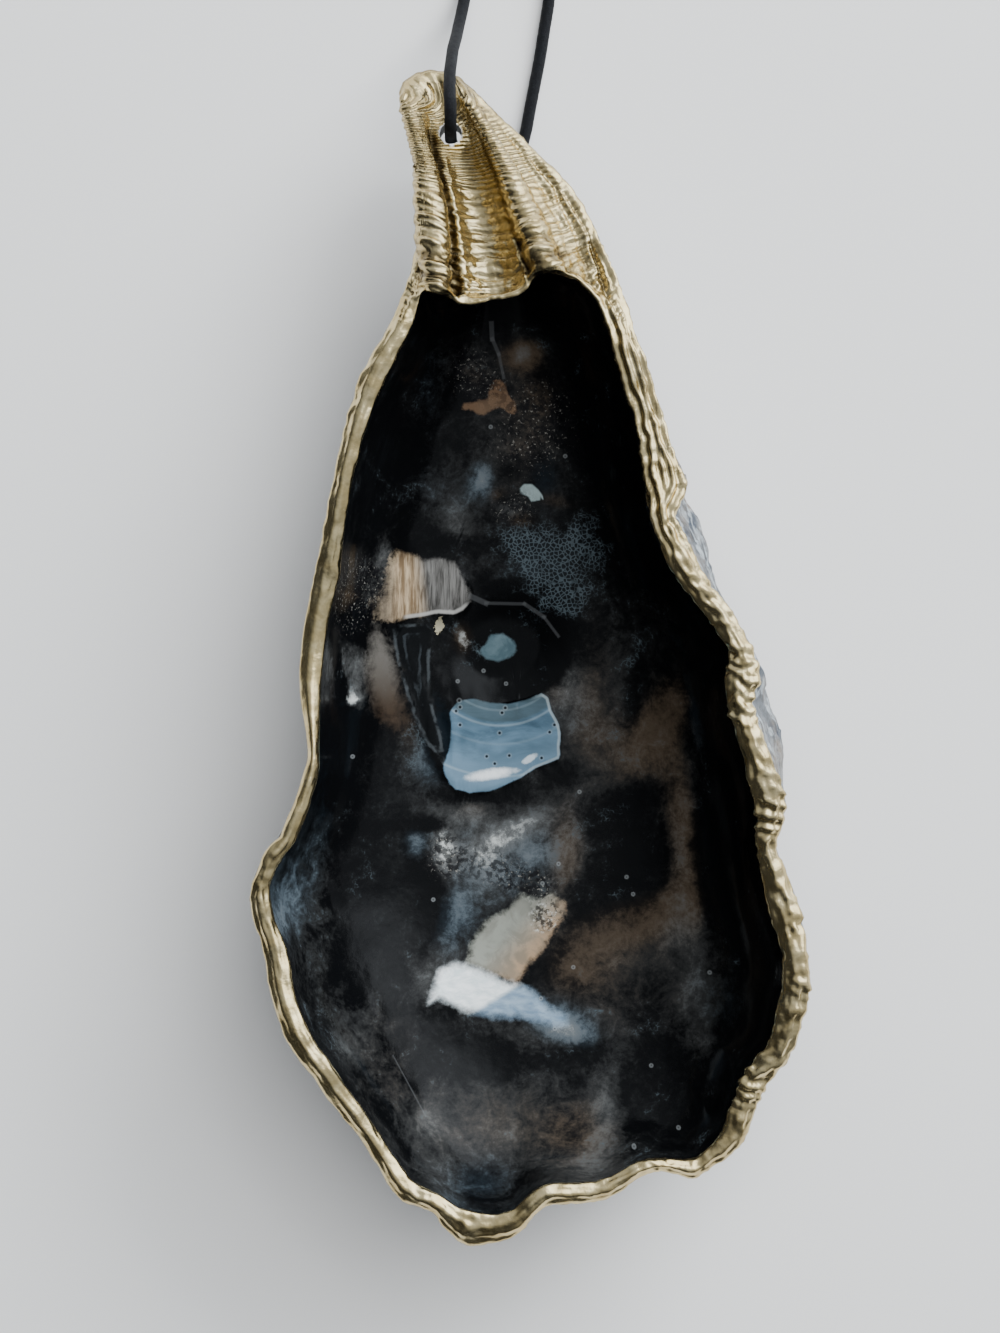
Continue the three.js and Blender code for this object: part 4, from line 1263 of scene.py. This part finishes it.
def back_colour(g):
    """Chalky grey and white shell with tan and slate streaks that fan out to the rim."""
    chalk = g.noise(3.5, 8.0, 0.8, 0.65)
    colour = g.mix(chalk.step(0.35, 0.65), (0.17, 0.175, 0.18), (0.42, 0.43, 0.43))
    colour = colour.coat(chalk.step(0.6, 0.36) * 0.5, (0.24, 0.18, 0.12))
    streak = g.attribute("streak") + (g.noise(2.2, 6.0, 0.6, 0.65) - 0.5) * 1.1
    colour = colour.coat(streak.step(0.05, 0.55) * 0.9, (0.03, 0.042, 0.065))
    below = g.attribute("below")
    near_rim = below.step(0.45, 0.08) * g.noise(7.0, 4.0, 0.5).step(0.35, 0.6)
    colour = colour.coat(near_rim * 0.7, (0.05, 0.064, 0.082))
    drift = g.noise(3.5, 5.0, 0.6) * 14.0 + g.noise(14.0, 3.0) * 30.0
    edges = g.math("SINE", below * 90.0 + drift).step(0.1, 0.9)
    colour = colour.coat(edges * near_rim * 0.75, (0.46, 0.51, 0.54))
    darkening = g.noise(0.7, 6.0, 0.3, 0.7).step(0.52, 0.36)
    return colour.coat(darkening * 0.45, (0.06, 0.052, 0.045))


def growth_wave(g):
    """Waves that follow the growth lines of the hinge plate, between -1 and 1."""
    drift = g.noise(6.0, 3.0) * 16.0 + g.noise(1.3, 3.0) * 2.5
    return g.math("SINE", g.attribute("growth") * 6.0 + drift) * g.attribute("plate")


def gold_colour(g, lines):
    """Gold paint, worn in places, with painted shade in the hollows and in the troughs of the growth
    lines.
    """
    worn = g.noise(2.6, 6.0, 0.5, 0.6)
    colour = g.mix(worn.step(0.35, 0.7), GOLD, BRIGHT_GOLD)
    # Painted shade in the troughs of the growth lines.
    colour = colour.coat(lines.step(0.0, -1.0) * 0.45, GOLD_TROUGH_SHADE)
    # Painted shade in the hollows of the gold.
    darkening = g.attribute("hollow") + (g.noise(1.4, 4.0, 0.2, 0.5) - 0.5) * 0.3
    return colour.coat(darkening.step(0.25, 0.9) * 0.85, GOLD_SHADE)


def shell_material():
    g = Material("shell")
    ragged = ragged_noise(g)
    lines = growth_wave(g)
    below = g.attribute("below").step(0.0, 0.004)
    edge_wobble = (g.noise(1.1, 4.0, 0.3, 0.6) - 0.5) * 0.7
    gilt = (g.attribute("gilt") + edge_wobble).step(-0.14, -0.04)
    bore = g.attribute("bore").step(0.4, 0.6)
    colour = cup_clouds(g, ragged)
    for layer in (cup_net, cup_ledge, cup_blade, cup_patches, cup_scar):
        colour = layer(g, colour, ragged)
    colour, leaf = fleck(g, pinholes(g, threads(g, mottling(g, colour))))
    colour = colour.coat(below, back_colour(g)).coat(gilt, gold_colour(g, lines))
    g.set("Base Color", colour.coat(bore, BARE_BORE))
    g.set("Metallic", g.math("MAXIMUM", gilt, leaf) * (1.0 - bore))
    g.set("Specular IOR Level", VARNISH_SPECULAR)
    rough = g.blend(below, g.blend(g.noise(5.0, 3.0), *VARNISH_ROUGHNESS), CHALK_ROUGHNESS)
    rough = g.blend(gilt, rough, g.blend(g.noise(0.9, 4.0), *GOLD_ROUGHNESS))
    g.set("Roughness", g.blend(bore, rough, BORE_ROUGHNESS))
    leather = g.noise(1.1, 3.0, 0.2, 0.45) * GOLD_LEATHER
    height = g.blend(below, g.noise(3.0, 4.0) * VARNISH_WAVES, g.noise(0.4, 7.0, 0.3, 0.7))
    g.bump(g.blend(gilt, height, leather + lines * GOLD_STRIAE), SHELL_BUMP)
    return g.material


def cord_material():
    g = Material("waxed_cord")
    fuzz = g.noise(0.25, 5.0, 0.2, 0.7)
    wax = g.noise(2.0, 4.0, 0.4, 0.6)
    colour = g.mix(fuzz.step(0.42, 0.68), (0.003, 0.003, 0.004), (0.01, 0.011, 0.013))
    g.set("Base Color", colour.coat(wax.step(0.58, 0.78) * 0.5, (0.025, 0.026, 0.03)))
    g.set("Specular IOR Level", CORD_SPECULAR)
    g.set("Roughness", g.blend(fuzz, 0.55, 0.85))
    g.bump(fuzz, CORD_BUMP)
    return g.material


def floor_material():
    g = Material("studio_floor")
    tone = g.noise(400.0, 2.0)
    g.set("Base Color", g.mix(tone, (0.72, 0.715, 0.705), (0.76, 0.755, 0.745)))
    g.set("Roughness", g.blend(tone, 0.7, 0.8))
    return g.material


# ---- Stage ----

FLOOR_SIZE = 2.4
WINDOW_AT = (0.42, 0.48, 0.36)
CEILING_AT = (0.15, 0.15, 0.95)
SKY_COLOUR = (0.88, 0.94, 1.0)
# Room light against the cosine of the angle from the window: from, to, strength from, strength to.
SKY_LOBES = [(-0.3, 0.9, 0.06, 0.85), (0.76, 0.97, 0.0, 4.0)]


def make_floor():
    bm = bmesh.new()
    bmesh.ops.create_grid(bm, x_segments=4, y_segments=4, size=FLOOR_SIZE / 2)
    floor = object_from(bm, "floor", floor_material())


def make_light(name, at, size, power, colour):
    """A softbox aimed at the shell, which lights it without a reflection."""
    light = bpy.data.lights.new(name, "AREA")
    light.shape = "RECTANGLE"
    light.size, light.size_y = size
    light.energy = power
    light.color = colour
    lamp = bpy.data.objects.new(name, light)
    lamp.location = at
    lamp.rotation_euler = (Vector((0, 0, 0.01)) - Vector(at)).to_track_quat("-Z", "Y").to_euler()
    lamp.visible_glossy = False
    bpy.context.scene.collection.objects.link(lamp)


def make_sky():
    """Room light that is brightest toward the window and falls off to the other side."""
    world = bpy.data.worlds.new("studio")
    world.use_nodes = True
    g = Graph(world.node_tree)
    ahead = g.node("TexCoord", {}, "Generated")
    toward = g.vector("DOT_PRODUCT", "Value", ahead, tuple(Vector(WINDOW_AT).normalized()))
    wide, narrow = (toward.step(near, far) * (bright - dim) + dim for near, far, dim, bright in SKY_LOBES)
    sky = g.tree.nodes["Background"]
    g.put(sky.inputs["Color"], SKY_COLOUR)
    g.put(sky.inputs["Strength"], wide + narrow)
    bpy.context.scene.world = world


def make_lights():
    make_light("window", WINDOW_AT, (0.45, 0.35), 7.0, (0.95, 0.98, 1.0))
    make_light("ceiling", CEILING_AT, (0.8, 0.8), 7.0, (1.0, 1.0, 1.0))
    make_sky()


# ---- Build ----

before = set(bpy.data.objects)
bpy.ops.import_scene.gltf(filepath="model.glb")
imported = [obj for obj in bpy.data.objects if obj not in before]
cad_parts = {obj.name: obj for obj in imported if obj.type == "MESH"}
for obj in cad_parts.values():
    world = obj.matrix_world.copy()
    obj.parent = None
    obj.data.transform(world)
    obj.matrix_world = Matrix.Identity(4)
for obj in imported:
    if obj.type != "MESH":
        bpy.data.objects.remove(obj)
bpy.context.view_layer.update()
low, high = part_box("shell")
outline = closed_spline(RIM[:, :2], COARSE_RING)
plan_middle = (outline.min(axis=0) + outline.max(axis=0)) / 2
MIDDLE = plan_middle - np.array([(low[0] + high[0]) / 2, (low[1] + high[1]) / 2]) / MM

make_camera()
cord_look = cord_material()
knot = make_knot(cord_look)
make_strand("cord_front", FRONT_STRAND, cord_look)
make_strand("cord_back", BACK_STRAND, cord_look)
make_shell(shell_material())
make_floor()
make_lights()
